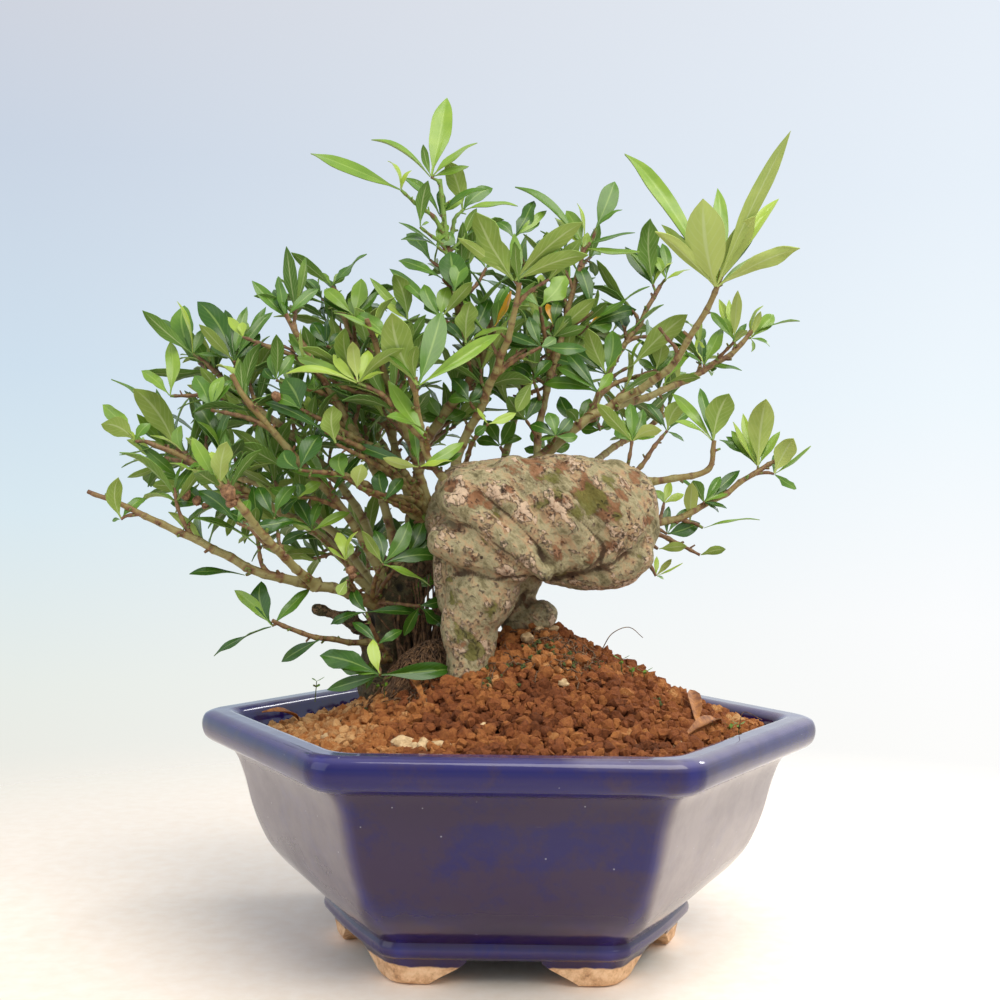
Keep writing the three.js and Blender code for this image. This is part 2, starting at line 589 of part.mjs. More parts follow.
const plant = new THREE.Group();
for (const { name, whole, finish } of nodes) {
  const { vertProperties, triVerts } = whole.getMesh();
  const geometry = new THREE.BufferGeometry();
  geometry.setAttribute('position', new THREE.BufferAttribute(vertProperties, 3));
  geometry.setIndex(new THREE.BufferAttribute(triVerts, 1));
  const mesh = new THREE.Mesh(geometry, finish);
  mesh.name = name;
  plant.add(mesh);
}

const whole = new THREE.Box3().setFromObject(plant);
const centre = whole.getCenter(new THREE.Vector3());
plant.position.set(-centre.x, -centre.y, -whole.min.z);

export default plant;
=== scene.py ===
"""Gardenia bonsai in a hexagonal glazed pot: the fine surface and the finish of every piece.

Sizes are in millimetres about the pot's axis, with +X to the right, +Y away from the front, +Z up and the
feet standing on Z = 0. `Assembly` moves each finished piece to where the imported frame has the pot.
"""

from __future__ import annotations

import logging
import math
import random
from collections.abc import Callable, Iterable, Iterator, Sequence
from contextlib import contextmanager
from dataclasses import dataclass, field
from enum import Enum
from functools import partial

import bmesh
import bpy
import numpy as np
from bpy.types import Material, Mesh, Node, NodeSocket, NodeTree, Object
from mathutils import Matrix, Vector, noise
from mathutils.kdtree import KDTree

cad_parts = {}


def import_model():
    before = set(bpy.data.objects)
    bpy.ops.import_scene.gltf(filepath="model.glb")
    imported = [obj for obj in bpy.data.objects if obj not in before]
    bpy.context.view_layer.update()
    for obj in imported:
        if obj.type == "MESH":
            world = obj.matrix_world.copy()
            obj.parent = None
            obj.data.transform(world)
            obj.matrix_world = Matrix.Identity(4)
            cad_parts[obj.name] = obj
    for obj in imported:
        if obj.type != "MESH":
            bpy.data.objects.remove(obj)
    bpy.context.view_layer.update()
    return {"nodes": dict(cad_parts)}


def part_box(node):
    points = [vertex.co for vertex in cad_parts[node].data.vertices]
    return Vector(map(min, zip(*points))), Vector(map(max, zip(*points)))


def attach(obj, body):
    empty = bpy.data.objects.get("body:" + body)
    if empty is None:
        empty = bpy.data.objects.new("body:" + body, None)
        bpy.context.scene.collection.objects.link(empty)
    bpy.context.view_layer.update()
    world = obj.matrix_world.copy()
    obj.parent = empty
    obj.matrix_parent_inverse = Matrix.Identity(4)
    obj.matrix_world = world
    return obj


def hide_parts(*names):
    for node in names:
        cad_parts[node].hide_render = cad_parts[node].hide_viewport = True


LOG = logging.getLogger("gardenia_bonsai")
MM = 0.001
BODY = "root"
Knot = Sequence[float]
Rgba = tuple[float, float, float, float]
# A copy of a small shape: the shape, where it goes, and the numbers that it carries for the material.
Placing = tuple[Mesh, Matrix, dict[str, float]]

# The pot's profile as the frame has it: [corner radius, height] up the outside, over the lip and down inside.
POT_OUTSIDE = (
    (55.5, 8), (57, 9.2), (57.3, 11), (56.6, 12.8), (58.6, 14.6), (63.4, 18.2), (68.6, 22.6), (73.2, 27.8),
    (76.5, 33.7), (79.1, 40.2), (81.7, 49.4), (84, 55.3), (86, 58),
)
POT_LIP = ((91, 59.5), (94, 61.5), (95, 65), (94, 68), (91.5, 69), (86, 69), (84.5, 68.2))
POT_INSIDE = ((82, 62), (77, 55), (74, 45), (71, 36), (66, 28), (58, 21), (47, 15))

# The trunk's and the stump's fused strands: [x, y, z, radius] down the middle of each.
TRUNK_STRANDS = (
    ((-12, -14, 76, 6.5), (-12, -14, 88, 6.5), (-12, -14, 97, 8), (-9, -13, 104, 10.5), (-7, -12, 112, 11)),
    ((-18, -8, 118, 5.5), (-18.5, -9, 110, 4.8), (-18, -9, 103, 3.6)),
    ((-12, -12, 112, 8), (-11, -12, 104, 8.2), (-10.5, -12, 96, 7.6), (-11, -12, 88, 6.4)),
    ((-16, -14, 123, 7), (-11, -17, 124, 8), (-5, -17, 120, 7.5), (1, -16, 116, 4)),
    ((-13, -9, 136, 8), (-8, -14, 130, 8.5), (-1, -17, 123, 8), (6, -17, 117, 5)),
    ((-4, -10, 137, 9), (6, -13, 130, 11), (14, -14, 122, 10), (18, -14, 118, 6)),
    ((10, -8, 138, 9), (21, -10, 132, 11), (28, -11, 122, 10), (27, -11, 116, 6)),
    ((20, -5, 138, 8.5), (30, -6, 137, 9.5), (35, -6, 129, 9.5), (35, -6, 120, 8.5), (31, -7, 114, 5.5)),
    ((13, -6, 114, 5), (25, -3, 113, 6), (36, -3, 117, 7)),
    ((-15, 6, 129, 12), (-5, 5, 131, 15), (9, 5, 132, 15), (24, 4, 130, 15), (33, 1, 128, 13)),
    ((4, 0, 116, 8), (2, 4, 105, 6.5), (4, 6, 96, 6.5), (6, 7, 84, 7)),
    ((3, 4, 98, 5), (10, 0, 99, 5)),
    ((-14, -6, 137, 8.8), (-4, -6, 138.6, 9.2), (5, -5, 138, 8.8), (14, -4, 139.8, 9.3), (25, -3, 139, 9.3)),
)
STUMP_STRANDS = (
    ((-39, 14, 72, 9), (-39, 14, 86, 8.5), (-37, 13, 98, 8.5), (-35, 14, 110, 8)),
    ((-37, 13, 100, 8), (-30, 14, 113, 7.5), (-26, 15, 122, 5.5)),
    ((-40, 12, 90, 2.6), (-50, 8, 96, 1.9), (-60, 4, 100, 1.6)),
)

# The branches' routes: [x, y, z, radius] from the wood that each grows out of to its last shoot.
BRANCH_ROUTES: dict[str, tuple[Knot, ...]] = {
    "right_main": ((1, 8, 140, 2.6), (13, 10, 152, 2.4), (25, 9, 161, 2.1), (32, 8, 165, 1.9),
                   (42, 4, 171, 1.7), (50, 0, 177, 1.5), (56, -4, 187, 1.3), (62, -8, 199, 1.1),
                   (66, -9, 212, 0.9)),
    "right_second": ((33, 8, 165, 1.7), (45, 12, 169, 1.5), (60, 18, 176, 1.3), (74, 22, 186, 1.1),
                     (79, 23, 192, 0.9)),
    "right_inner": ((25, 9, 161, 1.7), (31, 20, 175, 1.4), (36, 26, 185, 1.2), (42, 30, 194, 1.1),
                    (49, 34, 207, 0.9)),
    "right_bow": ((33, -6, 142, 1.7), (44, -8, 141, 1.5), (52, -10, 142, 1.3), (60, -12, 145, 1.1),
                  (61, -14, 153, 0.9)),
    "right_far": ((34, 6, 124, 1.9), (47, 8, 128, 1.7), (54, 10, 130, 1.5), (64, 12, 135, 1.3),
                  (75, 13, 142, 1.1), (86, 14, 149, 0.9)),
    "right_back": ((20, 12, 138, 1.9), (30, 32, 150, 1.6), (46, 48, 160, 1.3), (58, 58, 170, 0.9)),
    "centre_thick": ((-33, 15, 112, 2.8), (-31, 16, 134, 2.6), (-28, 15, 152, 2.4), (-20, 12, 164, 2.2),
                     (-12, 9, 174, 2), (-8, 6, 182, 1.6), (-6, 5, 192, 1)),
    "centre_main": ((-19, 8, 136, 2.3), (-16, 9, 151, 2.1), (-9, 3, 165, 1.9), (-4, -4, 176, 1.7),
                    (0, -10, 187, 1.4), (2, -14, 200, 0.9)),
    "top_tall": ((-11, 8, 176, 1.6), (-16, 6, 190, 1.4), (-19, 3, 204, 1.3), (-21, 1, 218, 1.1),
                 (-23, 0, 234, 0.9)),
    "top_right": ((9, 14, 138, 2), (9, 18, 156, 1.7), (12, 20, 172, 1.5), (17, 23, 192, 1.2),
                  (22, 24, 212, 0.9)),
    "top_back": ((-4, 16, 138, 2), (0, 30, 158, 1.7), (5, 40, 180, 1.4), (8, 46, 204, 0.9)),
    "front_crown": ((-17, -10, 138, 1.7), (-24, -13, 146, 1.5), (-27, -18, 158, 1.3), (-28, -24, 170, 0.9)),
    "left_crown": ((-23, 10, 124, 2.1), (-30, 2, 148, 1.8), (-36, -9, 166, 1.5), (-43, -19, 188, 0.9)),
    "left_high": ((-29, 17, 118, 2.1), (-38, 23, 152, 1.8), (-46, 25, 172, 1.5), (-54, 26, 190, 1.2),
                  (-58, 26, 203, 0.9)),
    "left_upper": ((-34, 8, 112, 2.2), (-43, 5, 144, 1.8), (-54, 1, 164, 1.5), (-63, -3, 180, 1.2),
                   (-70, -5, 191, 0.9)),
    "left_out": ((-37, 17, 108, 2.2), (-54, 21, 137, 1.8), (-73, 21, 157, 1.5), (-88, 21, 168, 1.2),
                 (-99, 21, 178, 0.9)),
    "left_mid": ((-38, 8, 107, 2.2), (-52, 0, 131, 1.8), (-65, -9, 147, 1.5), (-76, -16, 160, 1.2),
                 (-83, -20, 171, 0.9)),
    "left_far": ((-40, 18, 102, 2.2), (-61, 27, 126, 1.8), (-84, 33, 139, 1.5), (-101, 37, 145, 1.2),
                 (-112, 39, 150, 0.9)),
    "left_tip": ((-41, 11, 101, 2.1), (-58, 7, 121, 1.8), (-78, 1, 134, 1.5), (-95, -6, 144, 1.2),
                 (-110, -10, 151, 0.9)),
    "left_low": ((-41, 7, 101, 2.6), (-52, 1, 106, 2.3), (-66, -5, 109, 2.1), (-78, -9, 113, 1.9),
                 (-94, -12, 121, 1.6), (-104, -14, 126, 1.4), (-114, -15, 131, 1.1), (-127, -15, 136, 0.8)),
    "left_cut": ((-60, -3, 108, 2), (-66, -16, 116, 1.8), (-72, -24, 123, 1.7), (-77, -31, 131, 1.6),
                 (-84, -35, 139, 1.2)),
    "back_left": ((-24, 14, 124, 2), (-37, 38, 142, 1.7), (-48, 54, 160, 1.3), (-54, 60, 174, 0.9)),
    "back_low": ((-38, 18, 96, 2), (-51, 42, 112, 1.7), (-63, 56, 121, 1.3), (-74, 62, 130, 0.9)),
    "base_shoot": ((-40, 8, 90, 1.4), (-49, 3, 90, 1.2), (-60, -3, 92, 1), (-72, -8, 97, 0.8)),
    "soil_shoot": ((-37, 9, 84, 1.4), (-39, -3, 85, 1.2), (-39, -14, 86, 1)),
}


class Face(Enum):
    """Which side of a leaf shows from the front: it leans back, forward, or lies across the view."""

    UPPER = 1.0
    UNDER = -1.0
    EDGE = 0.0


class Tone(Enum):
    """How dark a leaf is, as the share along the leaf's colour ramp: partly its age, and partly painted
    shade, with leaves deep in the crown and low down set darker.
    """

    DEEP = 0.05
    MID = 0.3
    FRESH = 0.55
    NEW = 0.8
    DYING = 1.0


@dataclass(frozen=True)
class Leaf:
    """A leaf read off the photograph.

    Attributes:
        tip_px: Where its tip shows, in the photograph's 1000 x 1000 frame.
        face: The side that shows.
        width: Its real width across the middle, in millimetres.
        tone: How dark it is: its age, and painted shade where it lies deep in the crown.
    """

    tip_px: tuple[int, int]
    face: Face
    width: float
    tone: Tone


@dataclass(frozen=True)
class Shoot:
    """A tuft of leaves read off the photograph.

    Attributes:
        branch: The branch that carries it.
        base_px: Where its leaves meet, in the photograph's frame.
        depth: How far behind the pot's axis it lies, in millimetres.
        leaves: Its leaves.
    """

    branch: str
    base_px: tuple[int, int]
    depth: float
    leaves: tuple[Leaf, ...]


def tufts(branch: str, *rows: tuple) -> tuple[Shoot, ...]:
    """A branch's shoots.

    Args:
        branch: The branch.
        *rows: For each shoot its base, its depth and its leaves, as (tip x, tip y, face, width, tone).

    Returns:
        The shoots in the same order.
    """
    return tuple(Shoot(branch, base_px, depth, tuple(Leaf((x, y), *rest) for x, y, *rest in leaves))
                 for base_px, depth, *leaves in rows)


UP, LOW, SIDE = Face.UPPER, Face.UNDER, Face.EDGE
DEEP, MID, FRESH, NEW, DYING = Tone.DEEP, Tone.MID, Tone.FRESH, Tone.NEW, Tone.DYING

# The branches of the crown's middle, which carry the most leaves.
CENTRE_BRANCHES = ("centre_thick", "centre_main", "top_right", "top_back", "left_crown", "right_inner",
                   "left_high", "front_crown", "left_upper")

# The tufts of leaves that show from the front, branch by branch.
SHOOTS: tuple[Shoot, ...] = (
    *tufts("top_tall",
        ((431, 177), 0, (447, 97, UP, 7, FRESH), (372, 138, SIDE, 2.6, FRESH), (477, 142, SIDE, 3, FRESH),
         (423, 144, LOW, 2.5, MID), (469, 166, UP, 3, FRESH)),
        ((440, 215), 2, (403, 177, SIDE, 3.4, MID), (486, 188, SIDE, 2.6, MID), (439, 190, UP, 3, DEEP),
         (462, 200, UP, 4, FRESH)),
        ((401, 190), -8, (310, 152, UP, 5, FRESH), (389, 160, SIDE, 2, NEW), (411, 170, SIDE, 1.8, NEW)),
        ((420, 227), -3, (428, 180, LOW, 4.2, MID), (429, 222, SIDE, 1.6, FRESH)),
        ((437, 246), 0, (399, 222, SIDE, 1.6, MID), (401, 239, SIDE, 2.2, MID), (448, 224, UP, 4, FRESH),
         (452, 232, UP, 5, MID)),
        ((443, 279), -2, (398, 260, UP, 3.4, MID)),
        ((454, 292), -6, (450, 251, UP, 8.5, DEEP), (462, 262, UP, 6, MID)),
        ((463, 210), 14, (447, 160, LOW, 6.5, FRESH), (493, 188, UP, 4.6, MID), (518, 205, SIDE, 2.2, FRESH),
         (480, 192, UP, 4, MID)),
        ((486, 268), 12, (470, 250, UP, 3, MID), (498, 246, UP, 3, MID), (505, 262, SIDE, 3, FRESH))),
    *tufts("centre_main",
        ((514, 281), -14, (476, 211, LOW, 9, FRESH), (457, 237, LOW, 3.2, FRESH), (567, 232, UP, 5, MID),
         (583, 221, LOW, 6, FRESH), (589, 254, LOW, 5.5, FRESH), (480, 252, SIDE, 2.6, MID))),
    *tufts("top_back",
        ((514, 238), 22, (534, 200, UP, 5, DEEP), (547, 210, UP, 3, FRESH), (496, 222, UP, 3.5, MID),
         (540, 222, UP, 5.5, MID))),
    *tufts("top_right",
        ((583, 247), 24, (516, 185, SIDE, 3.2, MID), (640, 252, SIDE, 3, FRESH), (578, 203, SIDE, 1.6, NEW),
         (566, 210, UP, 5, FRESH), (555, 217, UP, 3.5, NEW), (635, 232, SIDE, 1.8, MID)),
        ((596, 228), 24, (615, 181, UP, 6.6, MID), (622, 209, SIDE, 2, MID)),
        ((540, 307), 8, (566, 275, UP, 6.8, FRESH), (515, 290, UP, 3.5, MID)),
        ((593, 312), 20, (578, 264, UP, 5, DEEP), (585, 275, UP, 3, MID)),
        ((553, 337), 12, (596, 298, LOW, 5, FRESH), (586, 327, LOW, 3.6, MID), (535, 309, UP, 4, MID),
         (571, 316, LOW, 5, MID))),
    *tufts("centre_main",
        ((541, 347), -4, (587, 349, UP, 4.2, DEEP), (505, 333, UP, 4.4, DEEP), (529, 316, UP, 4, DEEP),
         (503, 342, UP, 3.2, DEEP), (556, 338, UP, 4, MID))),
    *tufts("top_back",
        ((588, 326), 26, (622, 305, SIDE, 2, DYING), (649, 285, SIDE, 2.2, MID), (637, 309, UP, 5, DEEP),
         (612, 322, UP, 7.5, MID)),
        ((553, 325), 26, (547, 303, UP, 2.6, DYING), (560, 300, UP, 4, MID))),
    *tufts("right_inner",
        ((606, 374), 16, (588, 328, LOW, 6, FRESH), (566, 348, UP, 3.4, DEEP), (612, 330, UP, 6, MID),
         (544, 354, UP, 3.4, DEEP), (622, 352, SIDE, 2, FRESH)),
        ((598, 392), 8, (566, 352, UP, 4.2, DEEP), (556, 366, UP, 4.5, MID), (543, 384, UP, 4.5, MID),
         (612, 372, UP, 4, FRESH))),
    *tufts("right_main",
        ((556, 436), 4, (530, 424, UP, 4.4, DEEP), (548, 412, UP, 4.6, MID), (572, 418, UP, 4.2, DEEP),
         (540, 440, SIDE, 2.4, MID), (578, 436, UP, 3.4, MID)),
        ((578, 424), 14, (560, 396, UP, 4.8, DEEP), (590, 398, UP, 4.4, MID), (600, 416, UP, 4, DEEP),
         (566, 410, LOW, 4, MID))),
    *tufts("top_right",
        ((526, 420), 14, (508, 396, LOW, 5, MID), (540, 396, UP, 4.6, DEEP), (505, 414, UP, 4, DEEP),
         (520, 388, UP, 4.4, MID)),
        ((533, 380), 12, (516, 412, LOW, 5, FRESH), (552, 360, UP, 4.4, DEEP), (514, 366, UP, 4.4, DEEP))),
    *tufts("centre_main",
        ((488, 424), -8, (516, 413, UP, 3, NEW), (477, 408, SIDE, 1.6, NEW), (474, 434, UP, 3.4, MID)),
        ((470, 402), 2, (452, 378, UP, 4.6, DEEP), (486, 380, UP, 4.6, DEEP), (448, 400, UP, 4, MID),
         (492, 398, UP, 3.6, DEEP))),
    *tufts("top_back",
        ((500, 446), 24, (484, 420, UP, 4.6, MID), (514, 420, UP, 4.6, MID), (476, 440, UP, 4, MID),
         (522, 438, UP, 4, MID)),
        ((548, 452), 26, (532, 430, UP, 4.6, MID), (562, 428, UP, 4.6, MID), (570, 444, UP, 4, MID),
         (524, 448, UP, 4, MID))),
    *tufts("right_inner",
        ((600, 430), 22, (584, 408, UP, 4.6, MID), (618, 410, UP, 4.4, MID), (612, 426, UP, 3.6, MID),
         (580, 428, UP, 3.6, MID))),
    *tufts("centre_thick",
        ((444, 420), 12, (428, 396, UP, 4.6, MID), (458, 396, UP, 4.6, MID), (424, 414, UP, 4, MID),
         (466, 412, UP, 3.8, MID))),
    *tufts("right_main",
        ((716, 287), -9, (625, 150, UP, 5.4, FRESH), (791, 130, LOW, 5, NEW), (703, 199, LOW, 12.5, NEW),
         (718, 187, UP, 4.8, FRESH), (755, 214, LOW, 6.6, NEW), (779, 197, UP, 4.2, NEW),
         (767, 204, UP, 3.6, DEEP), (800, 247, LOW, 5.4, NEW), (670, 230, UP, 5, MID),
         (655, 230, LOW, 4.4, NEW), (661, 223, UP, 3.2, NEW), (776, 254, UP, 3.4, FRESH),
         (708, 252, SIDE, 1.6, NEW))),
    *tufts("right_inner",
        ((653, 285), 34, (650, 218, LOW, 7, MID), (656, 243, UP, 4, MID), (625, 247, UP, 4.4, DEEP),
         (631, 253, SIDE, 2.4, FRESH), (672, 262, SIDE, 1.8, NEW)),
        ((666, 279), 32, (662, 243, UP, 3.6, MID), (690, 269, SIDE, 1.8, NEW), (656, 256, UP, 3, FRESH)),
        ((632, 366), 20, (688, 314, LOW, 7, FRESH), (673, 331, UP, 4, MID), (642, 340, SIDE, 2, FRESH))),
    *tufts("right_second",
        ((734, 340), 22, (710, 311, UP, 2.8, MID), (719, 299, UP, 3.2, NEW), (729, 299, UP, 2.4, NEW),
         (738, 290, LOW, 3.6, NEW), (724, 317, UP, 2.6, FRESH)),
        ((751, 338), 23, (762, 305, SIDE, 1.8, NEW), (761, 311, LOW, 2.4, NEW), (774, 314, UP, 4.4, FRESH),
         (770, 346, SIDE, 2.2, MID), (752, 352, SIDE, 1.6, FRESH)),
        ((704, 365), 20, (696, 339, UP, 3.2, NEW), (704, 338, UP, 3, DEEP), (722, 327, UP, 5, FRESH),
         (715, 347, UP, 2.6, MID), (684, 352, SIDE, 1.6, MID), (742, 370, SIDE, 2, MID),
         (717, 366, UP, 4, MID), (712, 376, SIDE, 3, FRESH)),
        ((664, 384), 16, (691, 352, UP, 4.6, FRESH), (701, 377, LOW, 3.2, FRESH))),
    *tufts("right_inner",
        ((656, 370), 24, (662, 341, LOW, 5.4, FRESH), (638, 359, UP, 3, MID), (676, 350, UP, 4, MID))),
    *tufts("right_bow",
        ((667, 431), -2, (646, 403, UP, 2.8, DEEP), (684, 401, LOW, 5.4, FRESH), (697, 410, UP, 3.2, MID),
         (684, 441, SIDE, 2.2, MID)),
        ((632, 441), -8, (597, 403, LOW, 4.4, FRESH), (662, 430, LOW, 4.6, NEW), (643, 409, UP, 4, MID),
         (630, 403, UP, 4, MID), (622, 420, UP, 3.6, FRESH), (655, 436, SIDE, 2.4, FRESH),
         (615, 428, UP, 4, MID)),
        ((713, 441), -14, (729, 393, LOW, 8, FRESH), (672, 393, UP, 3.4, FRESH), (700, 387, UP, 3.2, MID),
         (675, 421, SIDE, 2.4, FRESH))),
    *tufts("right_far",
        ((758, 466), 14, (766, 398, LOW, 8, NEW), (743, 413, UP, 3, NEW), (733, 422, SIDE, 2.6, NEW),
         (731, 430, UP, 3.2, FRESH), (720, 439, SIDE, 2, MID), (726, 436, UP, 3.2, MID),
         (767, 435, UP, 3.8, MID), (780, 431, UP, 3, FRESH), (744, 449, UP, 3.4, DEEP)),
        ((774, 474), 12, (794, 438, LOW, 6.6, NEW), (811, 446, SIDE, 2, FRESH), (797, 489, UP, 2.8, MID),
         (776, 452, UP, 2.6, MID)),
        ((704, 502), 10, (740, 470, UP, 3.8, DEEP), (721, 476, UP, 3, MID), (693, 480, LOW, 4.4, MID),
         (730, 491, UP, 3.4, FRESH), (727, 508, SIDE, 2.2, DEEP), (671, 475, SIDE, 1.4, MID),
         (719, 512, SIDE, 2, DEEP)),
        ((690, 523), 12, (692, 482, LOW, 4.6, NEW)),
        ((664, 503), 14, (670, 481, UP, 2.8, NEW), (684, 494, UP, 3, NEW), (655, 490, UP, 3, FRESH)),
        ((667, 534), 8, (700, 523, UP, 5, DEEP), (669, 506, UP, 2.6, DEEP), (690, 508, UP, 2.6, MID)),
        ((703, 528), 10, (760, 519, SIDE, 1, FRESH)),
        ((658, 549), 6, (687, 546, LOW, 3.2, FRESH)),
        ((700, 555), 6, (726, 549, LOW, 3, FRESH)),
        ((656, 576), 4, (657, 556, UP, 1.8, NEW), (672, 559, LOW, 2, NEW), (683, 563, SIDE, 1, NEW),
         (664, 579, SIDE, 1.6, FRESH))),
    *tufts("front_crown",
        ((418, 386), -24, (392, 312, LOW, 10, FRESH), (442, 311, UP, 7.2, MID), (500, 333, UP, 4.4, FRESH),
         (385, 352, SIDE, 3, MID)),
        ((358, 383), -22, (333, 354, UP, 3, NEW), (368, 350, UP, 4.6, NEW), (404, 348, LOW, 4, FRESH),
         (352, 341, LOW, 4.2, NEW), (286, 372, SIDE, 2.6, NEW), (297, 358, UP, 3.4, FRESH),
         (321, 366, UP, 4, MID), (384, 372, SIDE, 2, NEW)),
        ((419, 467), -16, (350, 442, UP, 3.4, DEEP), (412, 413, UP, 3.6, MID), (464, 442, UP, 3.8, FRESH),
         (462, 453, UP, 3.2, MID), (452, 460, SIDE, 2.6, NEW), (383, 458, LOW, 3.4, NEW))),
    *tufts("left_crown",
        ((336, 444), -16, (333, 405, LOW, 6.4, FRESH), (322, 420, UP, 4, DEEP)),
        ((357, 487), -18, (362, 464, LOW, 5.2, NEW)),
        ((344, 477), -14, (289, 470, UP, 3.2, MID), (342, 452, UP, 6, MID)),
        ((385, 500), -10, (374, 486, UP, 2.6, FRESH), (396, 482, UP, 2.8, FRESH), (379, 470, UP, 5.2, DEEP),
         (403, 478, UP, 4, DEEP))),
    *tufts("soil_shoot",
        ((380, 675), -24, (453, 669, UP, 5.2, DEEP), (319, 655, UP, 6.2, DEEP), (373, 639, UP, 3.8, NEW),
         (327, 690, UP, 4, DEEP), (340, 668, UP, 4, MID))),
    *tufts("left_low",
        ((346, 560), -12, (337, 532, UP, 3.8, NEW), (328, 547, SIDE, 2, NEW), (357, 531, SIDE, 2, NEW),
         (351, 543, UP, 3, FRESH)),
        ((383, 564), -12, (362, 530, LOW, 3.6, FRESH), (374, 530, UP, 4, DEEP), (409, 521, UP, 5.2, MID),
         (440, 557, UP, 4.8, DEEP), (431, 585, SIDE, 2.4, FRESH)),
        ((347, 580), -14, (338, 595, LOW, 3.6, FRESH)),
        ((407, 556), 0, (432, 541, UP, 5.4, DEEP), (424, 520, UP, 5, DEEP))),
    *tufts("left_tip",
        ((312, 531), -6, (295, 498, UP, 4.6, DEEP), (322, 501, UP, 3.2, MID), (350, 512, UP, 3.2, FRESH),
         (288, 518, LOW, 2.8, FRESH), (281, 544, UP, 3.4, DEEP))),
    *tufts("left_mid",
        ((298, 498), -12, (321, 482, UP, 3.6, FRESH), (281, 513, UP, 4.6, DEEP), (297, 483, UP, 3.6, DEEP),
         (270, 488, UP, 3.6, MID))),
    *tufts("left_out",
        ((193, 354), 20, (142, 310, LOW, 4.4, MID), (158, 319, UP, 3.6, MID), (184, 305, UP, 7.6, MID),
         (178, 301, SIDE, 1.6, NEW), (203, 329, UP, 3.4, MID), (228, 358, SIDE, 1.8, MID),
         (170, 331, UP, 4, DEEP)),
        ((234, 361), 12, (197, 301, UP, 7.4, DEEP), (199, 324, LOW, 4, FRESH), (225, 309, UP, 4.4, DEEP),
         (247, 306, UP, 3.6, MID), (266, 306, UP, 3.2, MID), (273, 311, UP, 3.2, MID),
         (260, 333, UP, 4.4, DEEP), (214, 340, UP, 4.6, DEEP))),
    *tufts("left_upper",
        ((243, 337), 0, (228, 317, UP, 3, NEW), (242, 322, UP, 3, NEW)),
        ((286, 318), -5, (252, 281, UP, 4, MID), (319, 288, UP, 3.4, MID), (281, 300, SIDE, 2, MID))),
    *tufts("left_high",
        ((332, 286), 26, (291, 252, LOW, 4, MID), (366, 253, SIDE, 3, MID), (344, 274, UP, 3.6, FRESH),
         (318, 274, UP, 3, FRESH)),
        ((354, 316), 16, (324, 288, UP, 4.6, FRESH), (361, 278, UP, 5.8, FRESH),
         (332, 311, SIDE, 2.2, FRESH), (322, 297, UP, 2.8, DEEP), (378, 291, UP, 2.8, MID))),
    *tufts("front_crown",
        ((392, 342), -18, (355, 313, UP, 4.6, MID), (334, 312, SIDE, 2.2, FRESH))),
    *tufts("left_high",
        ((408, 320), 4, (394, 273, LOW, 5.8, FRESH), (370, 278, UP, 3, FRESH), (398, 300, UP, 4, DEEP),
         (385, 302, UP, 3, NEW))),
    *tufts("centre_thick",
        ((441, 318), -4, (389, 268, UP, 3.4, MID), (424, 284, UP, 4.6, MID), (448, 286, UP, 4.8, FRESH),
         (473, 281, LOW, 3.8, FRESH), (424, 303, UP, 4, MID)),
        ((466, 344), -6, (471, 301, LOW, 6.4, FRESH), (490, 296, UP, 5.4, DEEP),
         (514, 330, SIDE, 2.2, FRESH), (445, 322, UP, 3, DEEP)),
        ((494, 327), 0, (511, 291, SIDE, 2.6, DYING), (499, 300, UP, 4, MID))),
    *tufts("left_upper",
        ((276, 380), -6, (276, 334, LOW, 4.4, MID), (294, 354, UP, 3.4, MID), (271, 353, UP, 3.2, MID),
         (264, 368, UP, 3.2, DEEP))),
    *tufts("left_crown",
        ((318, 371), -14, (297, 357, UP, 3.2, FRESH), (339, 381, SIDE, 2.6, MID))),
    *tufts("left_high",
        ((327, 346), 14, (312, 322, UP, 4.6, DEEP), (328, 315, SIDE, 3.2, DEEP), (338, 333, UP, 3.4, DEEP),
         (318, 336, UP, 4, DEEP))),
    *tufts("left_crown",
        ((301, 409), -16, (285, 378, UP, 8.4, DEEP), (272, 396, UP, 3.4, MID)),
        ((325, 432), -18, (264, 402, UP, 3.6, DEEP)),
        ((299, 470), -20, (320, 434, UP, 6.6, DEEP), (284, 450, UP, 6.4, DEEP))),
    *tufts("left_out",
        ((170, 396), 16, (170, 341, UP, 4.8, FRESH), (141, 370, UP, 3.6, FRESH))),
    *tufts("left_far",
        ((176, 449), 28, (133, 388, LOW, 8.6, FRESH), (113, 377, SIDE, 2.2, MID), (156, 388, UP, 3, MID))),
    *tufts("left_mid",
        ((211, 410), -14, (194, 375, UP, 5.2, MID), (223, 376, UP, 4.6, FRESH), (234, 379, UP, 3.8, MID))),
    *tufts("left_tip",
        ((135, 441), -10, (102, 404, UP, 4.4, FRESH), (101, 424, LOW, 6.4, FRESH), (150, 423, UP, 4, MID),
         (128, 430, SIDE, 1.8, NEW), (176, 475, UP, 3.8, MID))),
    *tufts("left_cut",
        ((220, 488), -34, (211, 451, UP, 4.6, NEW), (227, 441, LOW, 5.4, NEW), (215, 472, UP, 3.4, FRESH))),
    *tufts("left_low",
        ((121, 519), -15, (118, 477, LOW, 5.2, FRESH), (146, 498, UP, 3.4, MID), (112, 521, SIDE, 1.8, MID)),
        ((246, 575), -8, (189, 573, SIDE, 2.2, DEEP))),
    *tufts("left_cut",
        ((237, 523), -20, (198, 491, UP, 4.6, DEEP), (249, 499, UP, 4, MID)),
        ((250, 527), -20, (294, 520, UP, 4, DEEP), (226, 512, UP, 4, DEEP))),
    *tufts("left_tip",
        ((204, 505), -8, (170, 503, UP, 4, DEEP), (185, 487, UP, 4, DEEP))),
    *tufts("left_cut",
        ((274, 517), -16, (296, 485, UP, 4.4, MID), (258, 486, UP, 4.4, DEEP))),
    *tufts("base_shoot",
        ((272, 626), -8, (261, 581, UP, 6.8, DEEP), (234, 590, UP, 3.8, FRESH), (310, 588, UP, 3.6, MID),
         (213, 655, SIDE, 2, DEEP)),
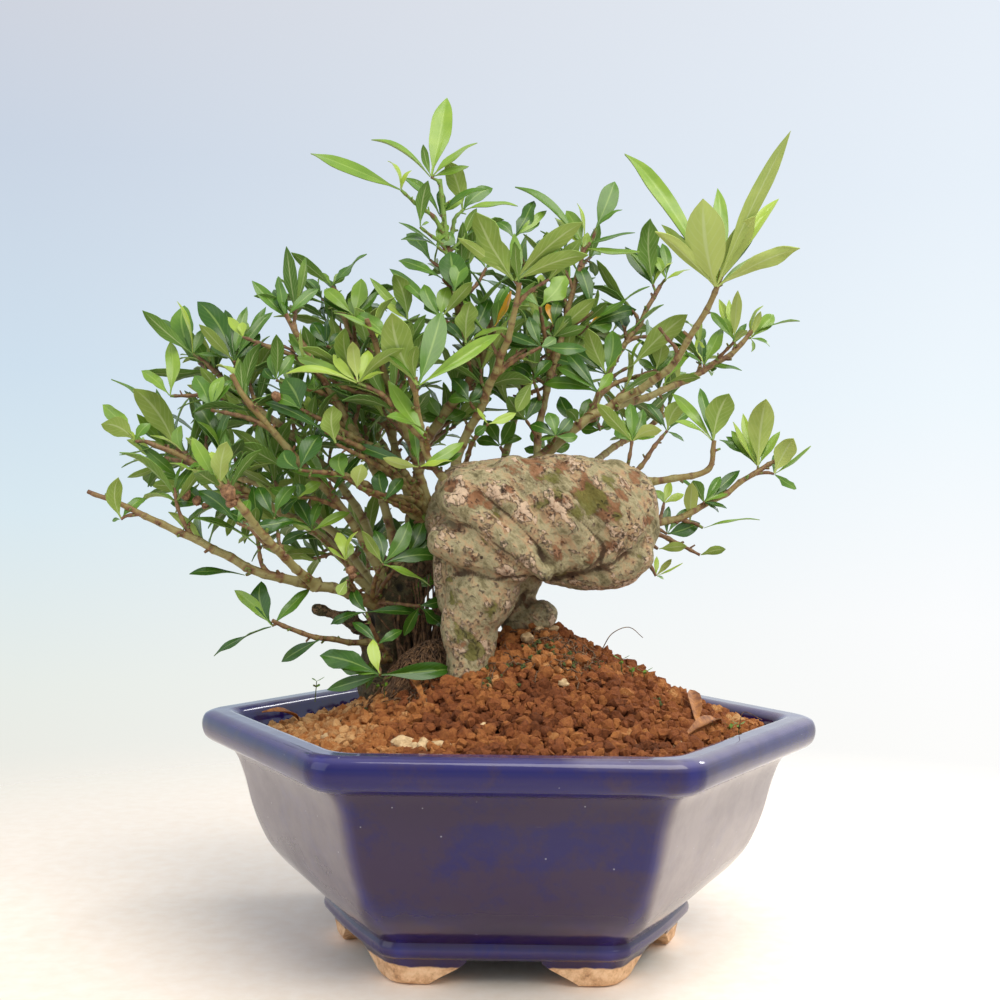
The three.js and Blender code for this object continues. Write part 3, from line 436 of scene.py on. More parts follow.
        ((321, 639), -4, (281, 662, UP, 3.8, DEEP))),
    *tufts("soil_shoot",
        ((366, 612), -6, (422, 614, UP, 3.4, DEEP), (353, 588, UP, 4, DEEP), (330, 624, UP, 3.2, DEEP)),
        ((378, 644), -12, (402, 630, UP, 3.6, DEEP), (352, 622, UP, 3, DEEP), (366, 690, UP, 3, DEEP))),
    *tufts("left_low",
        ((412, 590), 6, (430, 566, UP, 4.4, DEEP), (398, 562, UP, 4, DEEP), (424, 600, UP, 3.6, DEEP),
         (440, 580, UP, 3.6, MID)),
        ((404, 540), 8, (420, 512, UP, 5, DEEP), (388, 516, UP, 4.4, DEEP), (428, 534, UP, 4, DEEP),
         (392, 552, SIDE, 2.4, MID)),
        ((420, 606), -6, (444, 626, UP, 4, DEEP), (404, 636, UP, 3.4, DEEP), (446, 600, UP, 3.6, DEEP))),
)

# The outline of the dense foliage in the photograph's frame, which the leaves placed by rule stay inside.
CROWN_OUTLINE_PX = (
    (205, 548), (150, 520), (118, 492), (108, 450), (128, 400), (152, 352), (160, 322), (200, 312), (232, 316),
    (256, 292), (292, 268), (332, 276), (356, 292), (388, 284), (404, 266), (428, 256), (430, 230), (446, 206),
    (472, 194), (492, 212), (530, 212), (562, 216), (598, 212), (606, 236), (600, 276), (612, 296), (640, 300),
    (662, 320), (690, 330), (712, 318), (744, 312), (760, 326), (742, 346), (700, 384), (676, 404), (700, 402),
    (716, 420), (690, 424), (640, 424), (600, 452), (560, 462), (520, 462), (474, 468), (448, 486), (436, 520),
    (424, 560), (392, 600), (352, 610), (330, 580), (262, 566),
)
# Patches of sky inside that outline: [x, y, radius] in the photograph's frame.
SKY_PX = ((676, 304, 20), (628, 278, 14), (742, 372, 24), (700, 404, 12), (648, 408, 10))


def hex_colour(code: str) -> Rgba:
    """An sRGB hex value as a linear colour.

    Args:
        code: The colour, such as "#20306a".

    Returns:
        Linear red, green, blue and an alpha of 1.
    """
    shares = [int(code[i:i + 2], 16) / 255 for i in (1, 3, 5)]
    linear = [s / 12.92 if s <= 0.04045 else ((s + 0.055) / 1.055) ** 2.4 for s in shares]
    return (linear[0], linear[1], linear[2], 1.0)


def feed(tree: NodeTree, node: Node, inputs: dict[str | int, object]) -> None:
    """Sets and links a node's inputs.

    Args:
        tree: The node tree that it is in.
        node: The node.
        inputs: Input name or number to a value, hex colour or socket, or to a node, which feeds it with its
            first output.
    """
    for key, value in inputs.items():
        socket = node.inputs[key] if isinstance(key, int) else next(
            s for s in node.inputs if s.name == key and s.enabled)
        if isinstance(value, Node):
            value = next(s for s in value.outputs if s.enabled)
        if isinstance(value, NodeSocket):
            tree.links.new(value, socket)
        else:
            socket.default_value = hex_colour(value) if isinstance(value, str) else value


def add_node(tree: NodeTree, kind: str, inputs: dict[str | int, object] | None = None,
             stops: Sequence[tuple[float, str]] = (), **settings: object) -> Node:
    """Adds a node with its settings and links.

    Args:
        tree: The node tree that gets it.
        kind: Its type, such as "TexNoise".
        inputs: What each input gets, as `feed` takes it.
        stops: A colour ramp's places and hex colours.
        **settings: The node's own settings.

    Returns:
        The new node.
    """
    node = tree.nodes.new(f"ShaderNode{kind}")
    for name, value in settings.items():
        setattr(node, name, value)
    feed(tree, node, inputs or {})
    for i, (place, code) in enumerate(stops):
        elements = node.color_ramp.elements
        element = elements[i] if i < len(elements) else elements.new(place)
        element.position = place
        element.color = hex_colour(code)
    return node


def new_material(name: str) -> tuple[
        Material, Callable[..., Node], Callable[[dict[str | int, object]], None]]:
    """A node material, what adds a node to it, and what feeds its shader."""
    material = bpy.data.materials.new(name)
    material.use_nodes = True
    tree = material.node_tree
    return material, partial(add_node, tree), partial(feed, tree, tree.nodes["Principled BSDF"])


def cells(size_mm: float) -> float:
    """The scale of a texture whose features are that large, in cells to a metre."""
    return 1 / (size_mm * MM)


def deselect_all() -> None:
    """Leaves nothing selected."""
    for thing in bpy.context.selected_objects:
        thing.select_set(False)


def activate(piece: Object) -> None:
    """Selects one piece alone and makes it the active one."""
    deselect_all()
    piece.select_set(True)
    bpy.context.view_layer.objects.active = piece


@contextmanager
def editing(piece: Object) -> Iterator[Object]:
    """Edit mode on one piece, and back to object mode after it."""
    activate(piece)
    bpy.ops.object.mode_set(mode="EDIT")
    yield piece
    bpy.ops.object.mode_set(mode="OBJECT")


def pick_faces(piece: Object, test: Callable[[Vector], bool]) -> None:
    """Selects, in edit mode, the faces whose middle passes a test.

    Args:
        piece: The piece in edit mode.
        test: Takes a face's middle and says whether the face is picked.
    """
    bpy.ops.mesh.select_mode(type="FACE")
    bpy.ops.mesh.select_all(action="DESELECT")
    shape = bmesh.from_edit_mesh(piece.data)
    for face in shape.faces:
        face.select_set(test(sum((v.co for v in face.verts), Vector()) / len(face.verts)))
    shape.select_flush_mode()
    bmesh.update_edit_mesh(piece.data)


def turn_outwards() -> None:
    """Turns every face of the piece in edit mode outwards."""
    bpy.ops.mesh.select_all(action="SELECT")
    bpy.ops.mesh.normals_make_consistent(inside=False)


def add_modifier(piece: Object, kind: str, **settings: object) -> None:
    """Adds a modifier with its settings to the active piece and applies it."""
    activate(piece)
    bpy.ops.object.modifier_add(type=kind)
    modifier = piece.modifiers[-1]
    for name, value in settings.items():
        setattr(modifier, name, value)
    bpy.ops.object.modifier_apply(modifier=modifier.name)


def cut_away(piece: Object, cutter: Object) -> None:
    """Cuts one solid out of a piece, and drops it."""
    add_modifier(piece, "BOOLEAN", operation="DIFFERENCE", object=cutter, solver="EXACT")
    bpy.data.objects.remove(cutter)


def join(pieces: Sequence[Object], name: str) -> Object:
    """Joins pieces into one, which takes the name."""
    activate(pieces[0])
    for other in pieces[1:]:
        other.select_set(True)
    if len(pieces) > 1:
        bpy.ops.object.join()
    whole = bpy.context.view_layer.objects.active
    whole.name = name
    whole.data.name = name
    return whole


def smooth(piece: Object, degrees: float = 180.0) -> None:
    """Shades a piece smooth, up to edges sharper than an angle."""
    activate(piece)
    bpy.ops.object.shade_smooth_by_angle(angle=math.radians(degrees))


def dress(piece: Object, *materials: Material) -> Object:
    """Puts materials in a piece's slots, in order. Emptying the slots forgets which face has which."""
    if piece.data.materials:
        piece.data.materials.clear()
    for material in materials:
        piece.data.materials.append(material)
    return piece


def give_attribute(piece: Object, name: str, values: Sequence[float]) -> None:
    """Writes one number per vertex under a name that a material reads."""
    layer = piece.data.attributes.get(name) or piece.data.attributes.new(name, "FLOAT", "POINT")
    layer.data.foreach_set("value", np.asarray(values, np.float32))


def vertex_places(piece: Object) -> np.ndarray:
    """A mesh's vertices in millimetres."""
    flat = np.empty(len(piece.data.vertices) * 3, np.float32)
    piece.data.vertices.foreach_get("co", flat)
    return flat.reshape(-1, 3).astype(float) / MM


def vertex_normals(piece: Object) -> np.ndarray:
    """A mesh's vertex normals."""
    return np.array([n.vector for n in piece.data.vertex_normals], float)


def move_vertices(piece: Object, places: np.ndarray) -> None:
    """Puts a mesh's vertices at places in millimetres."""
    piece.data.vertices.foreach_set("co", (places * MM).astype(np.float32).ravel())
    piece.data.update()


def search_tree(places: Sequence[Sequence[float]]) -> KDTree:
    """What finds the nearest of some places."""
    tree = KDTree(len(places))
    for i, place in enumerate(places):
        tree.insert(Vector(place), i)
    tree.balance()
    return tree


def random_vector(draw: random.Random, reach: float = 1.0) -> Vector:
    """A vector with each part drawn evenly, up to a reach either way."""
    return Vector([draw.uniform(-reach, reach) for _ in range(3)])


def smoothstep(low: float, high: float, value: np.ndarray | float) -> np.ndarray:
    """A smooth rise from 0 at low to 1 at high."""
    share = np.clip((np.asarray(value, float) - low) / (high - low), 0, 1)
    return share * share * (3 - 2 * share)


def smooth_route(knots: Sequence[Knot], step: float) -> np.ndarray:
    """Points on the centripetal Catmull-Rom curve through some knots.

    Args:
        knots: Each a place and, last, a value such as a radius, which goes straight between knots.
        step: How far apart the points are, in millimetres.

    Returns:
        One row for each point, laid out as a knot.
    """
    given = np.array(knots, float)
    places = given[:, :-1]
    padded = np.vstack([2 * places[0] - places[1], places, 2 * places[-1] - places[-2]])
    made = []
    for i in range(len(given) - 1):
        p0, p1, p2, p3 = padded[i:i + 4]
        gaps = [max(float(np.linalg.norm(b - a)) ** 0.5, 1e-4) for a, b in ((p0, p1), (p1, p2), (p2, p3))]
        start = (p1 - p0) / gaps[0] - (p2 - p0) / (gaps[0] + gaps[1]) + (p2 - p1) / gaps[1]
        end = (p2 - p1) / gaps[1] - (p3 - p1) / (gaps[1] + gaps[2]) + (p3 - p2) / gaps[2]
        start, end = start * gaps[1], end * gaps[1]
        count = max(1, round(float(np.linalg.norm(p2 - p1)) / step))
        for k in range(count):
            t = k / count
            bend2 = -3 * p1 + 3 * p2 - 2 * start - end
            bend3 = 2 * p1 - 2 * p2 + start + end
            place = p1 + start * t + bend2 * t ** 2 + bend3 * t ** 3
            value = given[i, -1] + (given[i + 1, -1] - given[i, -1]) * t
            made.append([*place, value])
    made.append(list(given[-1]))
    return np.array(made)


def tubes(name: str, routes: Iterable[np.ndarray], sides: int) -> Object:
    """One mesh that holds a closed tube along each route.

    Args:
        name: The piece's name.
        routes: Rows of x, y, z and radius, in millimetres.
        sides: How many sides each tube has: an even number from 4.

    Returns:
        The piece.
    """
    deselect_all()
    bpy.ops.curve.primitive_nurbs_path_add()
    piece = bpy.context.object
    curve = piece.data
    curve.splines.clear()
    curve.bevel_depth = 1.0
    curve.bevel_resolution = (sides - 4) // 2
    curve.use_fill_caps = True
    for route in routes:
        spline = curve.splines.new("POLY")
        spline.points.add(len(route) - 1)
        for point, (x, y, z, radius) in zip(spline.points, route):
            point.co = (x * MM, y * MM, z * MM, 1)
            point.radius = radius * MM
    activate(piece)
    bpy.ops.object.convert(target="MESH")
    piece = bpy.context.object
    piece.name = name
    piece.data.name = name
    return piece


def round_ended(route: np.ndarray) -> np.ndarray:
    """A route with a dome of shrinking rings added at both ends."""
    def dome(at: np.ndarray, away: np.ndarray) -> list[list[float]]:
        """The rings past one end, from its row and the next one inwards."""
        way = (at[:3] - away[:3]) / np.linalg.norm(at[:3] - away[:3])
        turns = np.linspace(0, math.pi / 2, 6)[1:]
        return [[*(at[:3] + way * at[3] * math.sin(t)), max(at[3] * math.cos(t), 0.02)] for t in turns]
    head = dome(route[0], route[1])[::-1]
    return np.array(head + route.tolist() + dome(route[-1], route[-2]))


def placed_copies(name: str, placings: Iterable[Placing]) -> Object:
    """One piece made of copies of small shapes.

    Args:
        name: The piece's name.
        placings: The copies.

    Returns:
        The piece, with the material slots still empty.
    """
    shape = bmesh.new()
    for mesh, place, numbers in placings:
        copy = mesh.copy()
        copy.transform(place)
        for key, number in numbers.items():
            layer = copy.attributes.get(key) or copy.attributes.new(key, "FLOAT", "POINT")
            layer.data.foreach_set("value", np.full(len(copy.vertices), number, np.float32))
        shape.from_mesh(copy)
        bpy.data.meshes.remove(copy)
    made = bpy.data.meshes.new(name)
    shape.to_mesh(made)
    shape.free()
    piece = bpy.data.objects.new(name, made)
    bpy.context.scene.collection.objects.link(piece)
    return piece


@dataclass(frozen=True)
class Sightline:
    """The camera of the photograph, in millimetres about the pot's axis."""

    stand: tuple[float, float, float] = (3.5, -427.0, 130.0)
    turn_deg: float = 0.89
    tilt_deg: float = 0.63
    roll_deg: float = 0.573
    lens_mm: float = 49.56
    sensor_mm: float = 36.0
    frame_px: float = 1000.0

    def heading(self) -> Matrix:
        """How the camera is turned."""
        turn = Matrix.Rotation(math.radians(self.turn_deg), 4, "Z")
        tilt = Matrix.Rotation(math.radians(90 + self.tilt_deg), 4, "X")
        roll = Matrix.Rotation(math.radians(self.roll_deg), 4, "Z")
        return turn @ tilt @ roll

    def place(self, pixel: tuple[float, float], depth: float) -> Vector:
        """The place in millimetres behind a pixel, at a depth behind the pot's axis."""
        reach = self.lens_mm / self.sensor_mm * self.frame_px
        half = self.frame_px / 2
        ray = self.heading() @ Vector(((pixel[0] - half) / reach, (half - pixel[1]) / reach, -1.0))
        stand = Vector(self.stand)
        return stand + ray * ((depth - stand.y) / ray.y)

    def pixel(self, place: Vector) -> tuple[float, float]:
        """Where a place in millimetres shows in the photograph's frame."""
        reach = self.lens_mm / self.sensor_mm * self.frame_px
        seen = self.heading().inverted() @ (place - Vector(self.stand))
        return (self.frame_px / 2 + reach * seen.x / -seen.z, self.frame_px / 2 - reach * seen.y / -seen.z)


SIGHT = Sightline()


@dataclass
class Assembly:
    """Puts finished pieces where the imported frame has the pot."""

    shift: Matrix = field(default_factory=Matrix)

    def find(self) -> None:
        """Reads the pot's axis from the frame."""
        low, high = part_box("pot")
        self.shift = Matrix.Translation(((low.x + high.x) / 2, (low.y + high.y) / 2, low.z))

    def add(self, piece: Object, slot: str, *nodes: str) -> Object:
        """Moves a piece's mesh into the frame, hangs it on the body and hides the solids that it replaces.

        Args:
            piece: A piece modelled about the pot's axis.
            slot: The record's material slot; not used.
            *nodes: The solids that it replaces.

        Returns:
            The piece.
        """
        piece.data.transform(self.shift)
        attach(piece, BODY)
        if nodes:
            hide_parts(*nodes)
        LOG.info("%s: %d faces", piece.name, len(piece.data.polygons))
        return piece


@dataclass(frozen=True)
class CobaltGlaze:
    """Dipped and fired cobalt glaze on stoneware, and the bare clay of the feet under its edge.

    Glassy and deep violet blue, brighter blue where it runs thin over edges, dulled to purple brown by a
    dried film with crisp edges that is lifted on the rim and in a band across the front, a band that is a
    painted reflection; a pale painted reflection of the bright surroundings lies streaky on the side faces
    and the lip. It has fine pinholes and a few hairline scratches; the clay is dry, warm and matt.
    """

    deep: str = "#110850"
    film: str = "#2a183c"
    thin: str = "#33348c"
    pinhole: str = "#a9a8b8"
    clay: str = "#e6bd92"
    clay_dark: str = "#c2946a"
    haze: str = "#b3a9a8"
    glaze_edge_mm: float = 5.6

    def material(self) -> Material:
        """The pot's material."""
        material, add, shade = new_material("cobalt_glaze")
        spot = add("TexCoord").outputs["Object"]
        thin = add("Attribute", attribute_name="thin").outputs["Fac"]
        # Where the film is lifted: on the rim, and in a front band that is a painted reflection.
        clean = add("Attribute", attribute_name="clean").outputs["Fac"]
        mottle = add("TexNoise", {"Vector": spot, "Scale": cells(11), "Detail": 9.0, "Roughness": 0.72})
        torn = add("Math", {0: mottle, 1: clean}, operation="SUBTRACT")
        film = add("MapRange", {"Value": torn, "From Min": 0.3, "From Max": 0.5})
        body = add("Mix", {"Factor": film, "A": self.deep, "B": self.film}, data_type="RGBA")
        # Painted reflection: a pale, streaky sheet of the bright surroundings mirrored on the side faces and
        # the lip.
        hazy = add("Attribute", attribute_name="haze").outputs["Fac"]
        streaks = add("TexNoise", {"Vector": spot, "Scale": cells(18), "Detail": 6.0, "Roughness": 0.6})
        uneven = add("MapRange", {"Value": streaks, "From Min": 0.25, "From Max": 0.6, "To Min": 0.55})
        veil = add("Math", {0: hazy, 1: uneven}, operation="MULTIPLY")
        hazed = add("Mix", {"Factor": veil, "A": body, "B": self.haze}, data_type="RGBA")
        edged = add("Mix", {"Factor": thin, "A": hazed, "B": self.thin}, data_type="RGBA")
        holes = add("TexVoronoi", {"Vector": spot, "Scale": cells(6), "Randomness": 1.0})
        hole = add("MapRange", {"Value": holes, "From Min": 0.045, "From Max": 0.03, "To Max": 0.6})
        drawn = add("VectorMath", {0: spot, 1: (0.12, 0.12, 1.0)}, operation="MULTIPLY")
        scuffs = add("TexNoise", {"Vector": drawn, "Scale": cells(2.6), "Detail": 2.0, "Roughness": 0.5})
        line = add("MapRange", {"Value": scuffs, "From Min": 0.74, "From Max": 0.78, "To Max": 0.3})
        broken = add("MapRange", {"Value": mottle, "From Min": 0.5, "From Max": 0.56})
        scratch = add("Math", {0: line, 1: broken}, operation="MULTIPLY")
        marks = add("Math", {0: hole, 1: scratch}, operation="MAXIMUM")
        speckled = add("Mix", {"Factor": marks, "A": edged, "B": self.pinhole}, data_type="RGBA")
        grain = add("TexNoise", {"Vector": spot, "Scale": cells(3), "Detail": 8.0, "Roughness": 0.75})
        clay = add("ValToRGB", {"Fac": grain}, stops=(
            (0.28, "#6d5342"), (0.4, self.clay_dark), (0.55, self.clay), (0.72, "#f0cfa8")))
        parts = add("SeparateXYZ", {0: spot})
        wander = add("TexNoise", {"Vector": spot, "Scale": cells(12), "Detail": 3.0, "Roughness": 0.6})
        ragged = add("Math", {0: wander, 1: 0.003}, operation="MULTIPLY")
        height = add("Math", {0: parts.outputs["Z"], 1: ragged}, operation="ADD")
        edge = self.glaze_edge_mm * MM
        glazed = add("MapRange", {"Value": height, "From Min": edge + 0.0013, "From Max": edge + 0.0017})
        whole = add("Mix", {"Factor": glazed, "A": clay, "B": speckled}, data_type="RGBA")
        dull = add("MapRange", {"Value": film, "To Min": 0.05, "To Max": 0.13})
        matt = add("Mix", {"Factor": glazed, "A": 0.88, "B": dull}, data_type="FLOAT")
        ripple = add("TexNoise", {"Vector": spot, "Scale": cells(10), "Detail": 2.0, "Roughness": 0.4})
        bump = add("Bump", {"Height": ripple, "Strength": 0.25, "Distance": 0.0005})
        pit = add("Bump", {"Height": marks, "Strength": 0.3, "Distance": 0.0002, "Normal": bump}, invert=True)
        shade({"Base Color": whole, "Roughness": matt, "Normal": pit, "IOR": 1.5})
        return material


@dataclass(frozen=True)
class FiredGranule:
    """Fired clay crumbs: porous, matt and rough, red brown where damp and orange tan where dry."""

    name: str = "fired_clay_granules"
    wet: str = "#57301a"
    damp: str = "#834a28"
    dry: str = "#ad6f3b"
    pale: str = "#cda06c"

    def material(self) -> Material:
        """Reads each granule's own shade and how dry its place is."""
        material, add, shade = new_material(self.name)
        spot = add("TexCoord").outputs["Object"]
        tone = add("Attribute", attribute_name="tone").outputs["Fac"]
        grain = add("TexNoise", {"Vector": spot, "Scale": cells(0.9), "Detail": 6.0, "Roughness": 0.8})
        spread = add("MapRange", {
            "Value": grain, "From Min": 0.3, "From Max": 0.7, "To Min": -0.24, "To Max": 0.24})
        level = add("Math", {0: tone, 1: spread}, operation="ADD")
        ramp = add("ValToRGB", {"Fac": level}, stops=(
            (0.0, self.wet), (0.35, self.damp), (0.7, self.dry), (1.0, self.pale)))
        pores = add("Bump", {"Height": grain, "Strength": 1.0, "Distance": 0.0006})
        shade({"Base Color": ramp, "Roughness": 0.95, "Specular IOR Level": 0.25, "Normal": pores})
        return material


@dataclass(frozen=True)
class PaleGravel:
    """Pumice and river gravel: cream, dry, with a soft grain."""

    pale: str = "#d6b98c"
    dark: str = "#a3835a"

    def material(self) -> Material:
        """The pebbles' material."""
        material, add, shade = new_material("pale_gravel")
        spot = add("TexCoord").outputs["Object"]
        grain = add("TexNoise", {"Vector": spot, "Scale": cells(2), "Detail": 7.0, "Roughness": 0.7})
        ramp = add("ValToRGB", {"Fac": grain}, stops=((0.35, self.dark), (0.6, self.pale)))
        bump = add("Bump", {"Height": grain, "Strength": 0.6, "Distance": 0.0003})
        shade({"Base Color": ramp, "Roughness": 0.85, "Normal": bump})
        return material


@dataclass(frozen=True)
class OldBark:
    """Old flaking bark of a gardenia: papery pinkish flakes over smooth grey green and beige plates, rust
    where a flake has come off, moss on top and in wet corners, and painted shade that darkens the creases,
    grooves, valleys and hollows."""

    name: str = "old_flaking_bark"
    dusk: str = "#6f6644"
    grey: str = "#9d9068"
    pale: str = "#b8ac86"
    beige: str = "#bda47a"
    pink: str = "#c8a37c"
    warm: str = "#8a5f3e"
    flake: str = "#ecceae"
    speck: str = "#84502f"
    crease: str = "#432d1d"
    rust: tuple[str, str] = ("#87502a", "#ae7650")
    moss: tuple[str, str] = ("#63611c", "#89853e")
    pit: str = "#35241a"

    def material(self) -> Material:
        """Reads the rise, rust and moss that each place of the wood carries, and its painted shade in the
        grooves, creases and pits.
        """
        material, add, shade = new_material(self.name)
        spot = add("TexCoord").outputs["Object"]
        grain = add("Mapping", {"Vector": spot, "Rotation": (0, -math.pi / 4, 0), "Scale": (1, 1, 2.2)},
                    vector_type="TEXTURE")
        broad = add("TexNoise", {
            "Vector": spot, "Scale": cells(8), "Detail": 5.0, "Roughness": 0.6, "Distortion": 0.4})
        fine = add("TexNoise", {
            "Vector": grain, "Scale": cells(2.2), "Detail": 10.0, "Roughness": 0.76, "Distortion": 0.2})
        mottled = add("Math", {0: broad, 1: 1.1, 2: fine}, operation="MULTIPLY_ADD")
        level = add("Math", {0: mottled, 1: 0.35}, operation="SUBTRACT")
        plates = add("ValToRGB", {"Fac": level}, stops=(
            (0.46, self.dusk), (0.58, self.grey), (0.66, self.pale), (0.72, self.beige), (0.8, self.pink),
            (0.9, self.warm)))
        rise = add("Attribute", attribute_name="rise").outputs["Fac"]
        warp = add("TexNoise", {"Vector": spot, "Scale": cells(1.1), "Detail": 4.0, "Roughness": 0.65})
        drift = add("VectorMath", {0: warp.outputs["Color"], 1: (0.0016, 0.0016, 0.0016), 2: spot},
                    operation="MULTIPLY_ADD")
        chips = add("TexVoronoi", {"Vector": drift, "Scale": cells(1.3), "Randomness": 1.0})
        chip = add("SeparateColor", {0: chips.outputs["Color"]})
        layered = add("Math", {0: chip, 1: 0.2, 2: mottled}, operation="MULTIPLY_ADD")
        lifted = add("Math", {0: rise, 1: 0.14, 2: layered}, operation="MULTIPLY_ADD")
        papery = add("MapRange", {"Value": lifted, "From Min": 1.26, "From Max": 1.32, "To Max": 0.75})
        flaked = add("Mix", {"Factor": papery, "A": plates, "B": self.flake}, data_type="RGBA")
        specks = add("TexNoise", {"Vector": spot, "Scale": cells(1.3), "Detail": 6.0, "Roughness": 0.7})
        gathered = add("Math", {0: broad, 1: 0.6, 2: specks}, operation="MULTIPLY_ADD")
        speck = add("MapRange", {"Value": gathered, "From Min": 0.93, "From Max": 1.02, "To Max": 0.7})
        specked = add("Mix", {"Factor": speck, "A": flaked, "B": self.speck}, data_type="RGBA")
        # Painted shade: where the surface lies lower than around it, it darkens towards the crease colour.
        sunk = add("MapRange", {"Value": rise, "From Min": -0.4, "From Max": -1.0, "To Max": 0.6})
        colour = add("Mix", {"Factor": sunk, "A": specked, "B": self.crease}, data_type="RGBA")
        ragged = add("TexNoise", {
            "Vector": grain, "Scale": cells(3.4), "Detail": 8.0, "Roughness": 0.62, "Distortion": 0.3})
        # Rust and moss are the bark's own colours; the last two patches are painted shade in grooves, creases
        # and hollows.
        for name, code, share, soft in (("rust", self.rust, 0.75, 0.05), ("moss", self.moss, 0.8, 0.04),
                                        ("groove", (self.crease,) * 2, 0.7, 0.12),
                                        ("pit", (self.pit,) * 2, 0.9, 0.12)):
            patch = add("Attribute", attribute_name=name).outputs["Fac"]
            torn = add("Math", {0: ragged, 1: 1.4, 2: patch}, operation="MULTIPLY_ADD")
            if name in ("moss", "rust"):
                rim = add("MapRange", {"Value": torn, "From Min": 1.08, "From Max": 1.15, "To Max": 0.4})
                colour = add("Mix", {"Factor": rim, "A": colour, "B": self.crease}, data_type="RGBA")
            tint = add("ValToRGB", {"Fac": fine}, stops=((0.38, code[0]), (0.62, code[1])))
            mask = add("MapRange", {
                "Value": torn, "From Min": 1.18 - soft, "From Max": 1.18 + soft, "To Max": share})
            colour = add("Mix", {"Factor": mask, "A": colour, "B": tint}, data_type="RGBA")
        rough = add("Bump", {"Height": mottled, "Strength": 1.0, "Distance": 0.0017})
        edge = add("Bump", {"Height": papery, "Strength": 0.7, "Distance": 0.0005, "Normal": rough})
        shade({"Base Color": colour, "Roughness": 0.74, "Specular IOR Level": 0.4, "Normal": edge})
        return material


@dataclass(frozen=True)
class YoungBark:
    """Bark of stems and twigs: green on this year's growth, red brown on last year's, then tan and olive
    beige, with a dark ring of old leaf scars at every node."""

    name: str = "young_ringed_bark"
    ring: str = "#5d3520"

    def material(self) -> Material:
        """Reads the wood's age and how far along, in nodes, each place is."""
        material, add, shade = new_material(self.name)
        spot = add("TexCoord").outputs["Object"]
        age = add("Attribute", attribute_name="age").outputs["Fac"]
        along = add("Attribute", attribute_name="along").outputs["Fac"]
        flecks = add("TexNoise", {"Vector": spot, "Scale": cells(2.6), "Detail": 7.0, "Roughness": 0.72})
        spread = add("MapRange", {
            "Value": flecks, "From Min": 0.3, "From Max": 0.7, "To Min": -0.26, "To Max": 0.26})
        level = add("Math", {0: age, 1: spread}, operation="ADD")
        base = add("ValToRGB", {"Fac": level}, stops=(
            (0.02, "#6f8c36"), (0.16, "#66402a"), (0.36, "#80603c"), (0.6, "#87743f"), (0.95, "#968c58")))
        share = add("Math", {0: along}, operation="FRACT")
        off = add("Math", {0: share, 1: 0.5}, operation="SUBTRACT")
        away = add("Math", {0: off}, operation="ABSOLUTE")
        ring = add("MapRange", {"Value": away, "From Min": 0.38, "From Max": 0.46, "To Max": 0.6})
        grown = add("MapRange", {"Value": age, "From Min": 0.05, "From Max": 0.15})
        patchy = add("MapRange", {"Value": flecks, "From Min": 0.6, "From Max": 0.46})
        worn = add("Math", {0: grown, 1: patchy}, operation="MULTIPLY")
        mask = add("Math", {0: ring, 1: worn}, operation="MULTIPLY")
        ringed = add("Mix", {"Factor": mask, "A": base, "B": self.ring}, data_type="RGBA")
        bump = add("Bump", {"Height": flecks, "Strength": 0.7, "Distance": 0.0004})
        shade({"Base Color": ringed, "Roughness": 0.6, "Normal": bump})
        return material


@dataclass(frozen=True)
class LeafSkin:
    """One side of a gardenia leaf: a waxy, glossy upper face or a paler, satin underside, with a light
    midrib and feathered side veins."""

    name: str
    tones: tuple[str, str, str, str, str]
    rib: str
    roughness: float
    gloss: float
    rib_share: float
    vein_share: float
    vein_pairs: float = 9.0

    def material(self) -> Material:
        """Reads the leaf's tone, and its own length and width for the veins."""
        material, add, shade = new_material(self.name)
        spot = add("TexCoord").outputs["Object"]
        grid = add("UVMap", uv_map="UVMap").outputs["UV"]
        tone = add("Attribute", attribute_name="tone").outputs["Fac"]
        cloud = add("TexNoise", {"Vector": spot, "Scale": cells(7), "Detail": 3.0, "Roughness": 0.5})
        spread = add("MapRange", {
            "Value": cloud, "From Min": 0.3, "From Max": 0.7, "To Min": -0.07, "To Max": 0.07})
        level = add("Math", {0: tone, 1: spread}, operation="ADD")
        places = (Tone.DEEP, Tone.MID, Tone.FRESH, Tone.NEW)
        stops = tuple((place.value, code) for place, code in zip(places, self.tones[:-1])) + (
            (0.92, self.tones[-2]), (Tone.DYING.value, self.tones[-1]))
        base = add("ValToRGB", {"Fac": level}, stops=stops)
        parts = add("SeparateXYZ", {0: grid})
        centred = add("Math", {0: parts, 1: 0.5}, operation="SUBTRACT")
        across = add("Math", {0: centred}, operation="ABSOLUTE")
        rib = add("MapRange", {
            "Value": across, "From Min": 0.055, "From Max": 0.022, "To Max": self.rib_share})
        slant = add("Math", {0: across, 1: -0.55, 2: parts.outputs["Y"]}, operation="MULTIPLY_ADD")
        count = add("Math", {0: slant, 1: self.vein_pairs * 2 * math.pi}, operation="MULTIPLY")
        wave = add("Math", {0: count}, operation="SINE")
        vein = add("MapRange", {"Value": wave, "From Min": 0.6, "From Max": 1.0, "To Max": self.vein_share})
        both = add("Math", {0: rib, 1: vein}, operation="MAXIMUM")
        before_tip = add("MapRange", {"Value": parts.outputs["Y"], "From Min": 0.93, "From Max": 0.68})
        lines = add("Math", {0: both, 1: before_tip}, operation="MULTIPLY")
        veined = add("Mix", {"Factor": lines, "A": base, "B": self.rib}, data_type="RGBA")
        shade({"Base Color": veined, "Roughness": self.roughness, "Specular IOR Level": self.gloss})
        return material


# Waxy and glossy, as the real leaf's upper face is, so it mirrors the light in a soft highlight.
LEAF_UPPER = LeafSkin(
    "waxy_leaf_upper", ("#305612", "#527824", "#789834", "#9eb444", "#dc9a2c"), "#a3ba62",
    roughness=0.27, gloss=0.4, rib_share=0.36, vein_share=0.05)
# Satin and paler, with the veins standing out.
LEAF_UNDER = LeafSkin(
    "satin_leaf_underside", ("#4c6c2c", "#628436", "#859b46", "#abb964", "#c98f3a"), "#bcc890",
    roughness=0.55, gloss=0.2, rib_share=0.55, vein_share=0.16)


